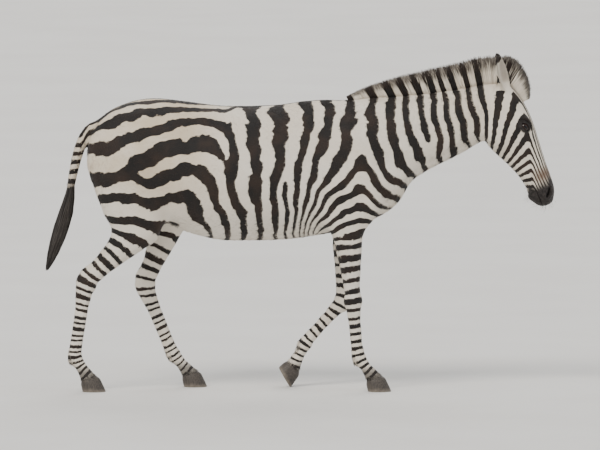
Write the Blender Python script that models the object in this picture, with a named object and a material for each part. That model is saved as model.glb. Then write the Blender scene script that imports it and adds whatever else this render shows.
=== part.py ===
"""A life-size plains zebra in mid walk, modelled whole and parted into its named pieces.

Metres, +Z up, +X towards the head and +Y towards the zebra's left side. The origin lies on the
ground, under the middle of the finished model. The flesh is laid up from tapered forms over the
joints of a posed skeleton, fused into one surface, thinned out, and then parted with thin cuts.
"""

import math

import bmesh
import bpy
import numpy as np
from mathutils import Matrix, Vector

# ---------------------------------------------------------------- driving dimensions
GAP = 0.0004  # clearance between neighbouring pieces
VOXEL = 0.006  # grain of the fused flesh
FINE_PASSES, BROAD_PASSES = 6, 48  # smoothing of all the flesh, and then of the trunk alone
FLESH_TRIANGLES = 5300
SIDES = {"left": 1, "right": -1}

# Skeleton, in the walking pose. Angles lean from the vertical, and + swings the lower end forwards.
ELBOW = (0.428, 0.722)  # x, z
HIP = (-0.490, 1.050)
FORE_CANNON = 0.250
THIGH, GASKIN, HIND_CANNON = 0.340, 0.345, 0.330
PASTERN = 0.112
HOOF_LENGTH, HOOF_WIDTH = 0.112, 0.086
TOE_FLAT = 0.004  # how much of the leaving toe is worn flat on the ground
HOOF_RISE, HOOF_SETBACK = 0.057, 0.020  # coronet centre over and behind the middle of the sole
FORE_SPREAD, HIND_SPREAD = 0.098, 0.108  # how far the hooves stand from the middle plane
ELBOW_SPREAD, HIP_SPREAD, STIFLE_SPREAD, HOCK_SPREAD = 0.135, 0.125, 0.150, 0.112

HEAD_ORIGIN = Vector((1.105, 0.0, 1.325))  # the poll
HEAD_PITCH = 65.0  # how far the face hangs below the level
HEAD_LENGTH = 0.552
DRAWN_LENGTH = 0.530  # the head's stations and places are drawn for this length
EYE_RADIUS = 0.0215
EYE_ALONG, EYE_ABOVE, EYE_OUT = 0.188, 0.016, 0.0750
EAR_LENGTH = 0.165

COAT = {"white": (0.78, 0.73, 0.65), "black": (0.035, 0.028, 0.024), "horn": (0.07, 0.06, 0.055)}


# ---------------------------------------------------------------- small helpers
def lean(degrees):
    """Unit vector (x, z) that points down and leans forwards by an angle."""
    a = math.radians(degrees)
    return np.array((math.sin(a), -math.cos(a)))


def ease(table, column, at):
    """Reads a station table between its rows: a cubic through the rows, with no overshoot."""
    xs = np.array([row[0] for row in table], float)
    ys = np.array([row[column] for row in table], float)
    if xs[0] > xs[-1]:
        xs, ys = xs[::-1], ys[::-1]
    steps = np.diff(xs)
    slopes = np.diff(ys) / steps
    tangents = np.zeros(len(xs))
    for i in range(1, len(xs) - 1):
        if slopes[i - 1] * slopes[i] > 0:
            w1 = 2 * steps[i] + steps[i - 1]
            w2 = steps[i] + 2 * steps[i - 1]
            tangents[i] = (w1 + w2) / (w1 / slopes[i - 1] + w2 / slopes[i])
    tangents[0], tangents[-1] = slopes[0], slopes[-1]
    i = int(np.clip(np.searchsorted(xs, at) - 1, 0, len(xs) - 2))
    h = steps[i]
    t = (at - xs[i]) / h
    return float(
        (1 + 2 * t) * (1 - t) ** 2 * ys[i]
        + t * (1 - t) ** 2 * h * tangents[i]
        + t * t * (3 - 2 * t) * ys[i + 1]
        + t * t * (t - 1) * h * tangents[i + 1]
    )


def ring(centre, side, up, half_width, above, below, roof=1.0, keel=1.0, count=28):
    """An egg-shaped section. roof and keel above 1 narrow its upper and lower half."""
    points = []
    for k in range(count):
        t = 2 * math.pi * k / count
        c, s = math.cos(t), math.sin(t)
        across = half_width * math.copysign(abs(c) ** (roof if s > 0 else keel), c)
        lift = above * s if s > 0 else below * s
        points.append(centre + side * across + up * lift)
    return points


def loft(name, rings):
    """A closed skin over rings of equally many points, with a fan over each end."""
    bm = bmesh.new()
    loops = [[bm.verts.new(p) for p in points] for points in rings]
    n = len(loops[0])
    for low, high in zip(loops, loops[1:]):
        for k in range(n):
            bm.faces.new((low[k], low[(k + 1) % n], high[(k + 1) % n], high[k]))
    for loop in (loops[0], loops[-1]):
        hub = bm.verts.new(sum((v.co for v in loop), Vector()) / n)
        for k in range(n):
            bm.faces.new((loop[k], loop[(k + 1) % n], hub))
    bmesh.ops.recalc_face_normals(bm, faces=bm.faces)
    mesh = bpy.data.meshes.new(name)
    bm.to_mesh(mesh)
    bm.free()
    made = bpy.data.objects.new(name, mesh)
    bpy.context.scene.collection.objects.link(made)
    return made


def ball(name, centre, radii, pitch=0.0, segments=24, rings=14):
    """An ellipsoid, pitched about Y: + tips its front down."""
    bm = bmesh.new()
    bmesh.ops.create_uvsphere(bm, u_segments=segments, v_segments=rings, radius=1.0)
    bm.transform(
        Matrix.Translation(centre)
        @ Matrix.Rotation(math.radians(pitch), 4, "Y")
        @ Matrix.Diagonal((*radii, 1.0))
    )
    mesh = bpy.data.meshes.new(name)
    bm.to_mesh(mesh)
    bm.free()
    made = bpy.data.objects.new(name, mesh)
    bpy.context.scene.collection.objects.link(made)
    return made


def limb(name, start, end, stations):
    """A straight tapered form from one joint to the next.

    stations hold (share of the length, front, back, half width). Front and back are measured
    square to the bone in the leg's own plane.
    """
    start, end = Vector(start), Vector(end)
    along = (end - start).normalized()
    side = Vector((0, 1, 0))
    front = side.cross(along).normalized()
    if front.x < 0 and abs(along.z) > 0.5:
        front = -front
    rings = [
        ring(start.lerp(end, share), side, front, width, ahead, behind, count=20)
        for share, ahead, behind, width in stations
    ]
    return loft(name, rings)


def evaluated_mesh(obj, name):
    """The object's mesh with its modifiers worked in."""
    bpy.context.view_layer.update()
    graph = bpy.context.evaluated_depsgraph_get()
    mesh = bpy.data.meshes.new_from_object(obj.evaluated_get(graph))
    mesh.name = name
    return mesh


def drop(obj):
    bpy.data.objects.remove(obj)


# ---------------------------------------------------------------- skeleton
def place(plan, spread):
    """A joint's point from its (x, z) and its distance from the middle plane."""
    return Vector((plan[0], spread, plan[1]))


def leg_digits(hoof_x, cannon_lean, cannon, pastern_lean):
    """Fetlock, coronet and the joint over the cannon, for a hoof that stands on the ground."""
    coronet = np.array((hoof_x - HOOF_SETBACK, HOOF_RISE))
    fetlock = coronet - PASTERN * lean(pastern_lean)
    upper = fetlock - cannon * lean(cannon_lean)
    return upper, fetlock, coronet


def stifle_between(hip, hock):
    """Where the stifle goes forwards of the line from hip to hock, by the two bones' lengths."""
    hip, hock = np.array(hip), np.array(hock)
    line = hock - hip
    reach = np.linalg.norm(line)
    along = (THIGH**2 - GASKIN**2 + reach**2) / (2 * reach)
    out = math.sqrt(THIGH**2 - along**2)
    unit = line / reach
    forwards = np.array((-unit[1], unit[0]))
    return hip + unit * along + forwards * out


def bearing_foreleg(hoof_x, cannon_lean, pastern_lean):
    knee, fetlock, coronet = leg_digits(hoof_x, cannon_lean, FORE_CANNON, pastern_lean)
    return {"elbow": ELBOW, "knee": knee, "fetlock": fetlock, "coronet": coronet, "pitch": 0.0}


def leaving_foreleg(toe_x, hoof_pitch, pastern_lean, cannon_lean):
    """A foreleg about to swing: the knee gives way and only the toe is left on the ground."""
    a = math.radians(hoof_pitch)
    toe_ahead, toe_under = HOOF_SETBACK + HOOF_LENGTH / 2, HOOF_RISE
    ahead = toe_ahead * math.cos(a) - toe_under * math.sin(a)
    under = toe_ahead * math.sin(a) + toe_under * math.cos(a)
    coronet = np.array((toe_x - ahead, under - TOE_FLAT))
    fetlock = coronet - PASTERN * lean(pastern_lean)
    knee = fetlock - FORE_CANNON * lean(cannon_lean)
    return {"elbow": ELBOW, "knee": knee, "fetlock": fetlock, "coronet": coronet, "pitch": hoof_pitch}


def hind_leg(hoof_x, cannon_lean, pastern_lean):
    hock, fetlock, coronet = leg_digits(hoof_x, cannon_lean, HIND_CANNON, pastern_lean)
    stifle = stifle_between(HIP, hock)
    return {"stifle": stifle, "hock": hock, "fetlock": fetlock, "coronet": coronet, "pitch": 0.0}


FORELEGS = {
    "left": leaving_foreleg(0.185, 60.0, -28.0, -42.0),
    "right": bearing_foreleg(0.570, 6.0, 36.0),
}
HIND_LEGS = {"left": hind_leg(-0.235, 22.0, 40.0), "right": hind_leg(-0.675, -9.0, 32.0)}


# ---------------------------------------------------------------- trunk, neck and head forms
# x, height of the back, height of the underline, height of the widest point, half width, roof
TRUNK = (
    (0.705, 1.010, 0.895, 0.940, 0.060, 1.0),
    (0.672, 1.085, 0.835, 0.930, 0.128, 1.0),
    (0.590, 1.190, 0.762, 0.915, 0.174, 1.1),
    (0.450, 1.276, 0.700, 0.910, 0.200, 1.5),
    (0.300, 1.280, 0.672, 0.930, 0.218, 1.5),
    (0.120, 1.252, 0.652, 0.930, 0.250, 1.2),
    (-0.080, 1.246, 0.650, 0.930, 0.266, 1.0),
    (-0.260, 1.266, 0.684, 0.950, 0.254, 1.0),
    (-0.420, 1.282, 0.760, 1.000, 0.224, 1.0),
    (-0.560, 1.250, 0.850, 1.040, 0.188, 1.0),
    (-0.650, 1.186, 0.920, 1.050, 0.132, 1.0),
    (-0.695, 1.120, 0.990, 1.060, 0.060, 1.0),
)
TRUNK_RINGS = 30

# Crest (x, z), throat (x, z), half width, from the shoulder to the poll.
NECK = (
    ((0.340, 1.250), (0.600, 0.780), 0.160),
    ((0.470, 1.284), (0.700, 0.900), 0.150),
    ((0.615, 1.292), (0.785, 0.955), 0.124),
    ((0.765, 1.306), (0.865, 0.995), 0.102),
    ((0.905, 1.328), (0.937, 1.030), 0.088),
    ((1.022, 1.348), (0.994, 1.066), 0.078),
    ((1.115, 1.345), (1.050, 1.100), 0.060),
)

# Distance from the poll towards the lips, forehead line over the head's axis, jaw line under it,
# half width, height of the widest point, narrowing of the jaw.
HEAD = (
    (-0.020, 0.020, -0.060, 0.046, -0.010, 1.0),
    (0.030, 0.047, -0.102, 0.066, 0.000, 1.0),
    (0.085, 0.058, -0.140, 0.082, 0.006, 1.1),
    (0.150, 0.061, -0.160, 0.089, 0.010, 1.25),
    (0.200, 0.058, -0.157, 0.086, 0.010, 1.3),
    (0.260, 0.050, -0.135, 0.073, -0.001, 1.25),
    (0.320, 0.042, -0.110, 0.061, -0.010, 1.1),
    (0.380, 0.035, -0.092, 0.053, -0.015, 1.0),
    (0.430, 0.031, -0.086, 0.054, -0.018, 1.0),
    (0.475, 0.025, -0.086, 0.056, -0.024, 1.0),
    (0.508, 0.010, -0.080, 0.048, -0.032, 1.0),
    (0.528, -0.014, -0.062, 0.028, -0.036, 1.0),
)
HEAD_RINGS = 36


HEAD_GROWTH = HEAD_LENGTH / DRAWN_LENGTH


def head_axes():
    """The head's own directions: along it to the lips, and out of its forehead."""
    a = math.radians(HEAD_PITCH)
    return Vector((math.cos(a), 0, -math.sin(a))), Vector((math.sin(a), 0, math.cos(a)))


def head_point(along, above, out=0.0):
    lips, brow = head_axes()
    return HEAD_ORIGIN + (lips * along + brow * above + Vector((0, out, 0))) * HEAD_GROWTH


def trunk_form():
    rings = []
    for x in np.linspace(TRUNK[0][0], TRUNK[-1][0], TRUNK_RINGS):
        back, belly, wide, half, roof = (ease(TRUNK, c, x) for c in range(1, 6))
        centre = Vector((x, 0, wide))
        rings.append(
            ring(centre, Vector((0, 1, 0)), Vector((0, 0, 1)), half, back - wide, wide - belly, roof)
        )
    return loft("trunk_form", rings)


def neck_form():
    steps = 4
    rings = []
    for (crest0, throat0, w0), (crest1, throat1, w1) in zip(NECK, NECK[1:]):
        for k in range(steps):
            f = k / steps
            crest = Vector((crest0[0], 0, crest0[1])).lerp(Vector((crest1[0], 0, crest1[1])), f)
            throat = Vector((throat0[0], 0, throat0[1])).lerp(Vector((throat1[0], 0, throat1[1])), f)
            up = (crest - throat).normalized()
            half = (crest - throat).length / 2
            middle = (crest + throat) / 2 - up * half * 0.12
            width = w0 + (w1 - w0) * f
            rings.append(
                ring(middle, Vector((0, 1, 0)), up, width, half * 1.12, half * 0.88, 1.25, 0.95)
            )
    return loft("neck_form", rings)


def head_form():
    lips, brow = head_axes()
    rings = []
    for along in np.linspace(HEAD[0][0], HEAD[-1][0], HEAD_RINGS):
        top, jaw, half, wide, keel = (ease(HEAD, c, along) for c in range(1, 6))
        centre = head_point(along, wide)
        above, below = (top - wide) * HEAD_GROWTH, (wide - jaw) * HEAD_GROWTH
        rings.append(ring(centre, Vector((0, 1, 0)), brow, half * HEAD_GROWTH, above, below, 0.85, keel))
    return loft("head_form", rings)


def head_ball(name, along, above, out, radii, tip=0.0):
    """A ball on the head, turned with the face and tipped a little more."""
    return ball(name, head_point(along, above, out), radii, HEAD_PITCH + tip)


def head_muscles():
    """The cheek, the brow over the eye, the nostril's flare, the lips and the chin."""
    forms = [
        head_ball("chin", 0.470, -0.078, 0.0, (0.026, 0.030, 0.020)),
        head_ball("upper_lip", 0.512, -0.030, 0.0, (0.024, 0.044, 0.036)),
    ]
    for name, side in SIDES.items():
        forms += [
            head_ball(f"cheek_{name}", 0.160, -0.082, side * 0.048, (0.086, 0.034, 0.074)),
            head_ball(f"brow_{name}", 0.176, 0.030, side * 0.066, (0.040, 0.026, 0.022), 8),
            head_ball(f"orbit_{name}", 0.190, 0.012, side * 0.069, (0.040, 0.022, 0.032)),
            head_ball(f"crest_{name}", 0.262, -0.010, side * 0.058, (0.070, 0.018, 0.016), -6),
            head_ball(f"nostril_{name}", 0.474, -0.004, side * 0.036, (0.034, 0.020, 0.024)),
        ]
    return forms


def trunk_muscles():
    """Masses that swell the trunk over the bones: shoulder, upper arm, breast, hip and haunch."""
    forms = []
    for name, side in SIDES.items():
        forms += [
            ball(f"shoulder_{name}", (0.500, side * 0.122, 1.020), (0.105, 0.062, 0.190), -28),
            ball(f"upper_arm_{name}", (0.465, side * 0.136, 0.815), (0.120, 0.062, 0.120), -30),
            ball(f"shoulder_point_{name}", (0.615, side * 0.108, 0.925), (0.078, 0.064, 0.090), -20),
            ball(f"breast_{name}", (0.600, side * 0.060, 0.900), (0.084, 0.066, 0.110), -18),
            ball(f"hip_point_{name}", (-0.345, side * 0.148, 1.145), (0.085, 0.055, 0.055), 10),
            ball(f"croup_{name}", (-0.480, side * 0.088, 1.112), (0.190, 0.112, 0.130), 12),
            ball(f"buttock_{name}", (-0.590, side * 0.102, 1.000), (0.116, 0.098, 0.190), -8),
            ball(f"flank_{name}", (-0.275, side * 0.124, 0.815), (0.120, 0.062, 0.085), 24),
            ball(f"neck_root_{name}", (0.640, side * 0.078, 1.060), (0.130, 0.070, 0.150), -35),
        ]
    return forms


# ---------------------------------------------------------------- leg forms
# Each limb's stations: share of the bone's length, front, back and half width.
UPPER_ARM_STATIONS = ((0, 0.110, 0.120, 0.070), (0.6, 0.095, 0.115, 0.064), (1, 0.070, 0.085, 0.056))
FOREARM_STATIONS = (
    (-0.22, 0.098, 0.104, 0.060),
    (0.00, 0.090, 0.084, 0.062),
    (0.22, 0.070, 0.062, 0.057),
    (0.50, 0.052, 0.046, 0.046),
    (0.80, 0.038, 0.036, 0.037),
    (1.00, 0.036, 0.033, 0.036),
)
FORE_CANNON_STATIONS = (
    (0.00, 0.038, 0.036, 0.039),
    (0.18, 0.030, 0.034, 0.033),
    (0.35, 0.025, 0.032, 0.0255),
    (0.75, 0.024, 0.031, 0.0245),
    (1.00, 0.028, 0.034, 0.030),
)
THIGH_STATIONS = (
    (-0.30, 0.140, 0.150, 0.085),
    (0.00, 0.170, 0.190, 0.110),
    (0.45, 0.150, 0.205, 0.104),
    (0.80, 0.115, 0.175, 0.086),
    (1.05, 0.070, 0.120, 0.064),
)
GASKIN_STATIONS = (
    (-0.05, 0.070, 0.125, 0.070),
    (0.20, 0.062, 0.110, 0.064),
    (0.45, 0.048, 0.078, 0.051),
    (0.70, 0.037, 0.055, 0.037),
    (1.00, 0.034, 0.052, 0.031),
)
HEEL_CORD_STATIONS = (
    (-0.10, 0.024, 0.014, 0.016),
    (0.60, 0.024, 0.016, 0.017),
    (0.95, 0.026, 0.020, 0.021),
    (1.10, 0.020, 0.012, 0.015),
)
HIND_CANNON_STATIONS = (
    (0.00, 0.036, 0.050, 0.037),
    (0.16, 0.031, 0.043, 0.033),
    (0.34, 0.027, 0.035, 0.027),
    (0.78, 0.025, 0.032, 0.0255),
    (1.00, 0.028, 0.035, 0.030),
)
PASTERN_STATIONS = (
    (0.00, 0.029, 0.031, 0.0310),
    (0.32, 0.025, 0.026, 0.0275),
    (0.66, 0.034, 0.034, 0.0350),
    (1.00, 0.036, 0.036, 0.0370),
)


def foot_forms(name, above, fetlock, coronet):
    """The fetlock, the ergot behind it and the pastern. above is the joint over the cannon."""
    down = (coronet - fetlock).normalized()
    front = Vector((-down.z, 0, down.x))
    ergot = fetlock + (fetlock - above).normalized() * 0.010 - front * 0.014
    return [
        ball(f"fetlock_{name}", fetlock, (0.033, 0.0335, 0.035)),
        ball(f"ergot_{name}", ergot, (0.018, 0.021, 0.021)),
        limb(f"pastern_{name}", fetlock, coronet + down * 0.055, PASTERN_STATIONS),
    ]


def foreleg_forms(name):
    side, pose = SIDES[name], FORELEGS[name]
    elbow = place(pose["elbow"], side * ELBOW_SPREAD)
    knee = place(pose["knee"], side * (0.35 * ELBOW_SPREAD + 0.65 * FORE_SPREAD))
    fetlock = place(pose["fetlock"], side * FORE_SPREAD)
    coronet = place(pose["coronet"], side * FORE_SPREAD)
    shoulder = elbow + Vector((0.035, -side * 0.012, 0.120))
    return [
        limb(f"upper_arm_{name}", shoulder, elbow, UPPER_ARM_STATIONS),
        limb(f"forearm_{name}", elbow, knee, FOREARM_STATIONS),
        ball(f"knee_{name}", knee, (0.043, 0.0405, 0.050)),
        limb(f"fore_cannon_{name}", knee, fetlock, FORE_CANNON_STATIONS),
    ] + foot_forms(f"fore_{name}", knee, fetlock, coronet)


def hind_leg_forms(name):
    side, pose = SIDES[name], HIND_LEGS[name]
    hip = place(HIP, side * HIP_SPREAD)
    stifle = place(pose["stifle"], side * STIFLE_SPREAD)
    hock = place(pose["hock"], side * HOCK_SPREAD)
    fetlock = place(pose["fetlock"], side * HIND_SPREAD)
    coronet = place(pose["coronet"], side * HIND_SPREAD)
    shank = (hock - stifle).normalized()
    heel = Vector((shank.z, 0, -shank.x))
    cord_top = hock + heel * 0.034 - shank * 0.160
    cord_foot = hock + heel * 0.040 - shank * 0.016
    return [
        limb(f"thigh_{name}", hip, stifle, THIGH_STATIONS),
        ball(f"stifle_{name}", stifle + Vector((0.010, 0, 0.010)), (0.078, 0.062, 0.085)),
        limb(f"gaskin_{name}", stifle, hock, GASKIN_STATIONS),
        ball(f"hock_{name}", hock, (0.048, 0.038, 0.056)),
        limb(f"heel_cord_{name}", cord_top, cord_foot, HEEL_CORD_STATIONS),
        limb(f"hind_cannon_{name}", hock, fetlock, HIND_CANNON_STATIONS),
    ] + foot_forms(f"hind_{name}", hock, fetlock, coronet)


# ---------------------------------------------------------------- fused flesh
SNOUT = head_point(0.25, -0.04)
HEAD_REACH = 0.32
LEGS_BELOW = 0.62


def fuse(forms):
    """One smooth closed surface over all the forms."""
    bm = bmesh.new()
    for form in forms:
        bm.from_mesh(form.data)
        drop(form)
    mesh = bpy.data.meshes.new("flesh")
    bm.to_mesh(mesh)
    bm.free()
    flesh = bpy.data.objects.new("flesh", mesh)
    bpy.context.scene.collection.objects.link(flesh)
    remesh = flesh.modifiers.new("Fuse", "REMESH")
    remesh.mode = "VOXEL"
    remesh.voxel_size = VOXEL
    smooth = flesh.modifiers.new("Relax", "SMOOTH")
    smooth.factor = 0.5
    smooth.iterations = FINE_PASSES
    fused = evaluated_mesh(flesh, "fused_flesh")
    drop(flesh)
    return fused


def on_trunk(point):
    """1 on the trunk and neck, 0 on the head and lower legs, and between them near the joins."""
    above_legs = (point.z - LEGS_BELOW) / 0.12
    behind_head = ((point - SNOUT).length - HEAD_REACH) / 0.10
    return min(max(min(above_legs, behind_head), 0.0), 1.0)


def relax_trunk(mesh):
    """Softens the creases between the big masses, and leaves the head and lower legs crisp."""
    body = bpy.data.objects.new("relaxed", mesh)
    bpy.context.scene.collection.objects.link(body)
    broad = body.vertex_groups.new(name="broad")
    for v in mesh.vertices:
        broad.add([v.index], on_trunk(v.co), "REPLACE")
    smooth = body.modifiers.new("Relax", "SMOOTH")
    smooth.factor = 0.5
    smooth.iterations = BROAD_PASSES
    smooth.vertex_group = broad.name
    made = evaluated_mesh(body, "relaxed_flesh")
    drop(body)
    return made


def press(points, centre, reach, push):
    """Moves the points near centre by push, fading out over reach."""
    away = np.linalg.norm((points - np.array(centre)) / np.array(reach), axis=1)
    weight = np.clip(1 - away**2, 0, 1) ** 2
    points += weight[:, None] * np.array(push)


def model_face(mesh):
    """Nostrils, the line of the mouth and the hollow between cheek and muzzle."""
    points = np.empty(len(mesh.vertices) * 3, np.float32)
    mesh.vertices.foreach_get("co", points)
    points = points.reshape(-1, 3)
    for side in SIDES.values():
        nostril = head_point(0.487, -0.002, side * 0.052)
        press(points, nostril, (0.024, 0.026, 0.022), (0, -side * 0.009, 0))
        for k in range(6):
            lips = head_point(0.440 + 0.013 * k, -0.056, side * 0.050)
            press(points, lips, (0.016, 0.030, 0.013), (0, -side * 0.005, 0))
        bars = head_point(0.330, -0.050, side * 0.056)
        press(points, bars, (0.060, 0.030, 0.045), (0, -side * 0.006, 0))
        temple = head_point(0.105, 0.030, side * 0.080)
        press(points, temple, (0.030, 0.030, 0.028), (0, -side * 0.007, 0))
    mesh.vertices.foreach_set("co", points.ravel())
    mesh.update()


def thin_out(mesh):
    """The same surface in few triangles: close together on the head and feet, wide on the barrel."""
    body = bpy.data.objects.new("thinned", mesh)
    bpy.context.scene.collection.objects.link(body)
    wide = body.vertex_groups.new(name="wide")
    for v in mesh.vertices:
        on_head = (v.co - SNOUT).length < HEAD_REACH
        low = v.co.z < LEGS_BELOW
        wide.add([v.index], 0.12 if on_head else 0.36 if low else 0.75, "REPLACE")
    decimate = body.modifiers.new("Thin", "DECIMATE")
    mesh.calc_loop_triangles()
    decimate.ratio = FLESH_TRIANGLES / len(mesh.loop_triangles)
    decimate.vertex_group = wide.name
    decimate.use_collapse_triangulate = True
    made = evaluated_mesh(body, "thin_flesh")
    drop(body)
    return made


# ---------------------------------------------------------------- parting the flesh
def prism(name, outline, low_y, high_y):
    """A cutter: an outline in the middle plane, drawn out across the body."""
    bm = bmesh.new()
    loops = [[bm.verts.new((x, y, z)) for x, z in outline] for y in (low_y, high_y)]
    n = len(outline)
    bm.faces.new(loops[0])
    bm.faces.new(loops[1][::-1])
    for k in range(n):
        bm.faces.new((loops[0][k], loops[1][k], loops[1][(k + 1) % n], loops[0][(k + 1) % n]))
    bmesh.ops.recalc_face_normals(bm, faces=bm.faces)
    mesh = bpy.data.meshes.new(name)
    bm.to_mesh(mesh)
    bm.free()
    made = bpy.data.objects.new(name, mesh)
    bpy.context.scene.collection.objects.link(made)
    made.hide_render = True
    made.display_type = "WIRE"
    return made


def grown(outline, by):
    """An outline pushed out by a distance, corner by corner."""
    points = [np.array(p, float) for p in outline]
    area = sum(a[0] * b[1] - b[0] * a[1] for a, b in zip(points, points[1:] + points[:1]))
    turn = 1 if area > 0 else -1
    made = []
    for before, here, after in zip(points[-1:] + points[:-1], points, points[1:] + points[:1]):
        first = (here - before) / np.linalg.norm(here - before)
        second = (after - here) / np.linalg.norm(after - here)
        n1 = turn * np.array((first[1], -first[0]))
        n2 = turn * np.array((second[1], -second[0]))
        corner = n1 + n2
        made.append(tuple(here + corner * by / max(np.dot(corner, n1), 0.3)))
    return made


def combine(name, mesh, steps):
    """A new object: mesh, changed by (operation, cutter) steps, with its modifiers worked in."""
    obj = bpy.data.objects.new(name, mesh.copy())
    bpy.context.scene.collection.objects.link(obj)
    for operation, cutter in steps:
        modifier = obj.modifiers.new(operation.title(), "BOOLEAN")
        modifier.operation = operation
        modifier.object = cutter
        modifier.solver = "EXACT"
    made = evaluated_mesh(obj, name)
    drop(obj)
    made = largest_piece(made)
    obj = bpy.data.objects.new(name, made)
    bpy.context.scene.collection.objects.link(obj)
    return obj


def largest_piece(mesh):
    """Keeps the biggest connected piece, as a cut can leave a crumb behind."""
    bm = bmesh.new()
    bm.from_mesh(mesh)
    bmesh.ops.remove_doubles(bm, verts=bm.verts, dist=1e-6)
    bmesh.ops.dissolve_degenerate(bm, edges=bm.edges, dist=1e-6)
    bmesh.ops.triangulate(bm, faces=bm.faces)
    left = set(bm.verts)
    pieces = []
    while left:
        stack = [left.pop()]
        piece = set(stack)
        while stack:
            for edge in stack.pop().link_edges:
                for v in edge.verts:
                    if v in left:
                        left.discard(v)
                        piece.add(v)
                        stack.append(v)
        pieces.append(piece)
    biggest = max(pieces, key=len)
    bmesh.ops.delete(bm, geom=[v for v in bm.verts if v not in biggest], context="VERTS")
    bm.to_mesh(mesh)
    bm.free()
    return mesh


def inflated(obj, by=GAP):
    """A hidden copy of a piece, swollen by a clearance, to cut its neighbours with."""
    copy = bpy.data.objects.new(f"{obj.name}_cutter", obj.data.copy())
    bpy.context.scene.collection.objects.link(copy)
    swell = copy.modifiers.new("Swell", "DISPLACE")
    swell.strength = by
    swell.mid_level = 0.0
    copy.hide_render = True
    copy.display_type = "WIRE"
    return copy


FAR = 3.0  # longer than anything that a cutter has to pass
NECK_LINE = ((0.470, 1.400), (0.745, 0.860))  # withers to breast
HEAD_LINE = ((1.040, 1.420), (1.034, 1.040))  # behind the poll to the throat
FORELEG_CUT = (
    (0.335, 0.752),
    (0.600, 0.775),
    (0.760, 0.620),
    (0.760, -0.100),
    (0.020, -0.100),
    (0.020, 0.590),
    (0.215, 0.628),
)
HIND_CUT = (
    (-0.240, 0.785),
    (-0.215, 0.600),
    (-0.020, 0.560),
    (-0.020, -0.100),
    (-1.000, -0.100),
    (-1.000, 0.970),
    (-0.700, 0.925),
)
CHEST_INSIDE = 0.052  # a foreleg's cut stops here, beside the breastbone


def ahead_of(line, by=0.0):
    """The outline of all that lies in front of a line in the middle plane."""
    top, foot = (Vector((p[0], 0, p[1])) for p in line)
    down = (foot - top).normalized()
    front = Vector((-down.z, 0, down.x))
    a, b = top - down * 0.25 + front * by, foot + down * 0.25 + front * by
    return [(p.x, p.z) for p in (a, b, b + front * FAR, a + front * FAR)]


def part_flesh(mesh):
    """Cuts the flesh into trunk, neck, head and the four legs, each at the gap from its neighbours."""
    half = GAP / 2
    head_cut = prism("head_cut", ahead_of(HEAD_LINE, half), -FAR, FAR)
    head_keep = prism("head_keep", ahead_of(HEAD_LINE, -half), -FAR, FAR)
    neck_cut = prism("neck_cut", ahead_of(NECK_LINE, half), -FAR, FAR)
    neck_keep = prism("neck_keep", ahead_of(NECK_LINE, -half), -FAR, FAR)
    cutters = [head_cut, head_keep, neck_cut, neck_keep]
    leg_keepers = []
    pieces = {}
    for name, side in SIDES.items():
        reach = sorted((side * CHEST_INSIDE, side * FAR))
        cut = prism(f"foreleg_cut_{name}", FORELEG_CUT, *reach)
        reach = sorted((side * (CHEST_INSIDE - GAP), side * FAR))
        keep = prism(f"foreleg_keep_{name}", grown(FORELEG_CUT, GAP), *reach)
        pieces[f"foreleg_{name}"] = (mesh, [("INTERSECT", cut)])
        leg_keepers.append(keep)
        cutters += [cut, keep]
        middle = sorted((side * half, side * FAR))
        cut = prism(f"hind_cut_{name}", HIND_CUT, *middle)
        pieces[f"hind_leg_{name}"] = (mesh, [("INTERSECT", cut)])
        cutters.append(cut)
    hind_keep = prism("hind_keep", grown(HIND_CUT, GAP), -FAR, FAR)
    leg_keepers.append(hind_keep)
    cutters.append(hind_keep)
    pieces["head"] = (mesh, [("INTERSECT", head_cut)])
    pieces["neck"] = (mesh, [("INTERSECT", neck_cut), ("DIFFERENCE", head_keep)])
    pieces["trunk"] = (mesh, [("DIFFERENCE", neck_keep)] + [("DIFFERENCE", k) for k in leg_keepers])
    made = {name: combine(name, source, steps) for name, (source, steps) in pieces.items()}
    return made, cutters


# ---------------------------------------------------------------- hooves
# Height, share of the sole's size, shift back, and how much lower the ring is at the heel.
HOOF = (
    (0.000, 1.000, 0.000, 0.000),
    (0.020, 0.955, 0.006, 0.005),
    (0.048, 0.860, 0.014, 0.016),
    (0.072, 0.770, 0.021, 0.030),
)
HIND_NARROWER = 0.93


def hoof_matrix(pose, spread):
    """Puts a hoof, drawn over the middle of its sole, under its coronet."""
    turn = Matrix.Rotation(math.radians(pose["pitch"]), 4, "Y")
    coronet = place(pose["coronet"], spread)
    return Matrix.Translation(coronet) @ turn @ Matrix.Translation((HOOF_SETBACK, 0, -HOOF_RISE))


def hoof(name, pose, spread, narrower=1.0):
    """A horn capsule: D-shaped sole, walls that slope in to the coronet, lower at the heel."""
    count = 20
    rings = []
    for height, share, back, drop_at_heel in HOOF:
        points = []
        for k in range(count):
            t = 2 * math.pi * k / count
            c, s = math.cos(t), math.sin(t)
            flat = 0.84 if c < 0 else 1.0
            x = HOOF_LENGTH / 2 * share * c * flat - back
            y = HOOF_WIDTH / 2 * narrower * share * math.copysign(abs(s) ** 0.9, s)
            fall = drop_at_heel * (0.5 - (x + back) / (HOOF_LENGTH * share))
            points.append(Vector((x, y, height - fall)))
        rings.append(points)
    made = loft(f"{name}_rough", rings)
    made.data.transform(hoof_matrix(pose, spread))
    under = [(-FAR, -FAR), (FAR, -FAR), (FAR, 0.0), (-FAR, 0.0)]
    ground = prism("ground", under, -FAR, FAR)
    trimmed_hoof = combine(name, made.data, [("DIFFERENCE", ground)] if pose["pitch"] else [])
    drop(made)
    drop(ground)
    return trimmed_hoof


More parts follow.
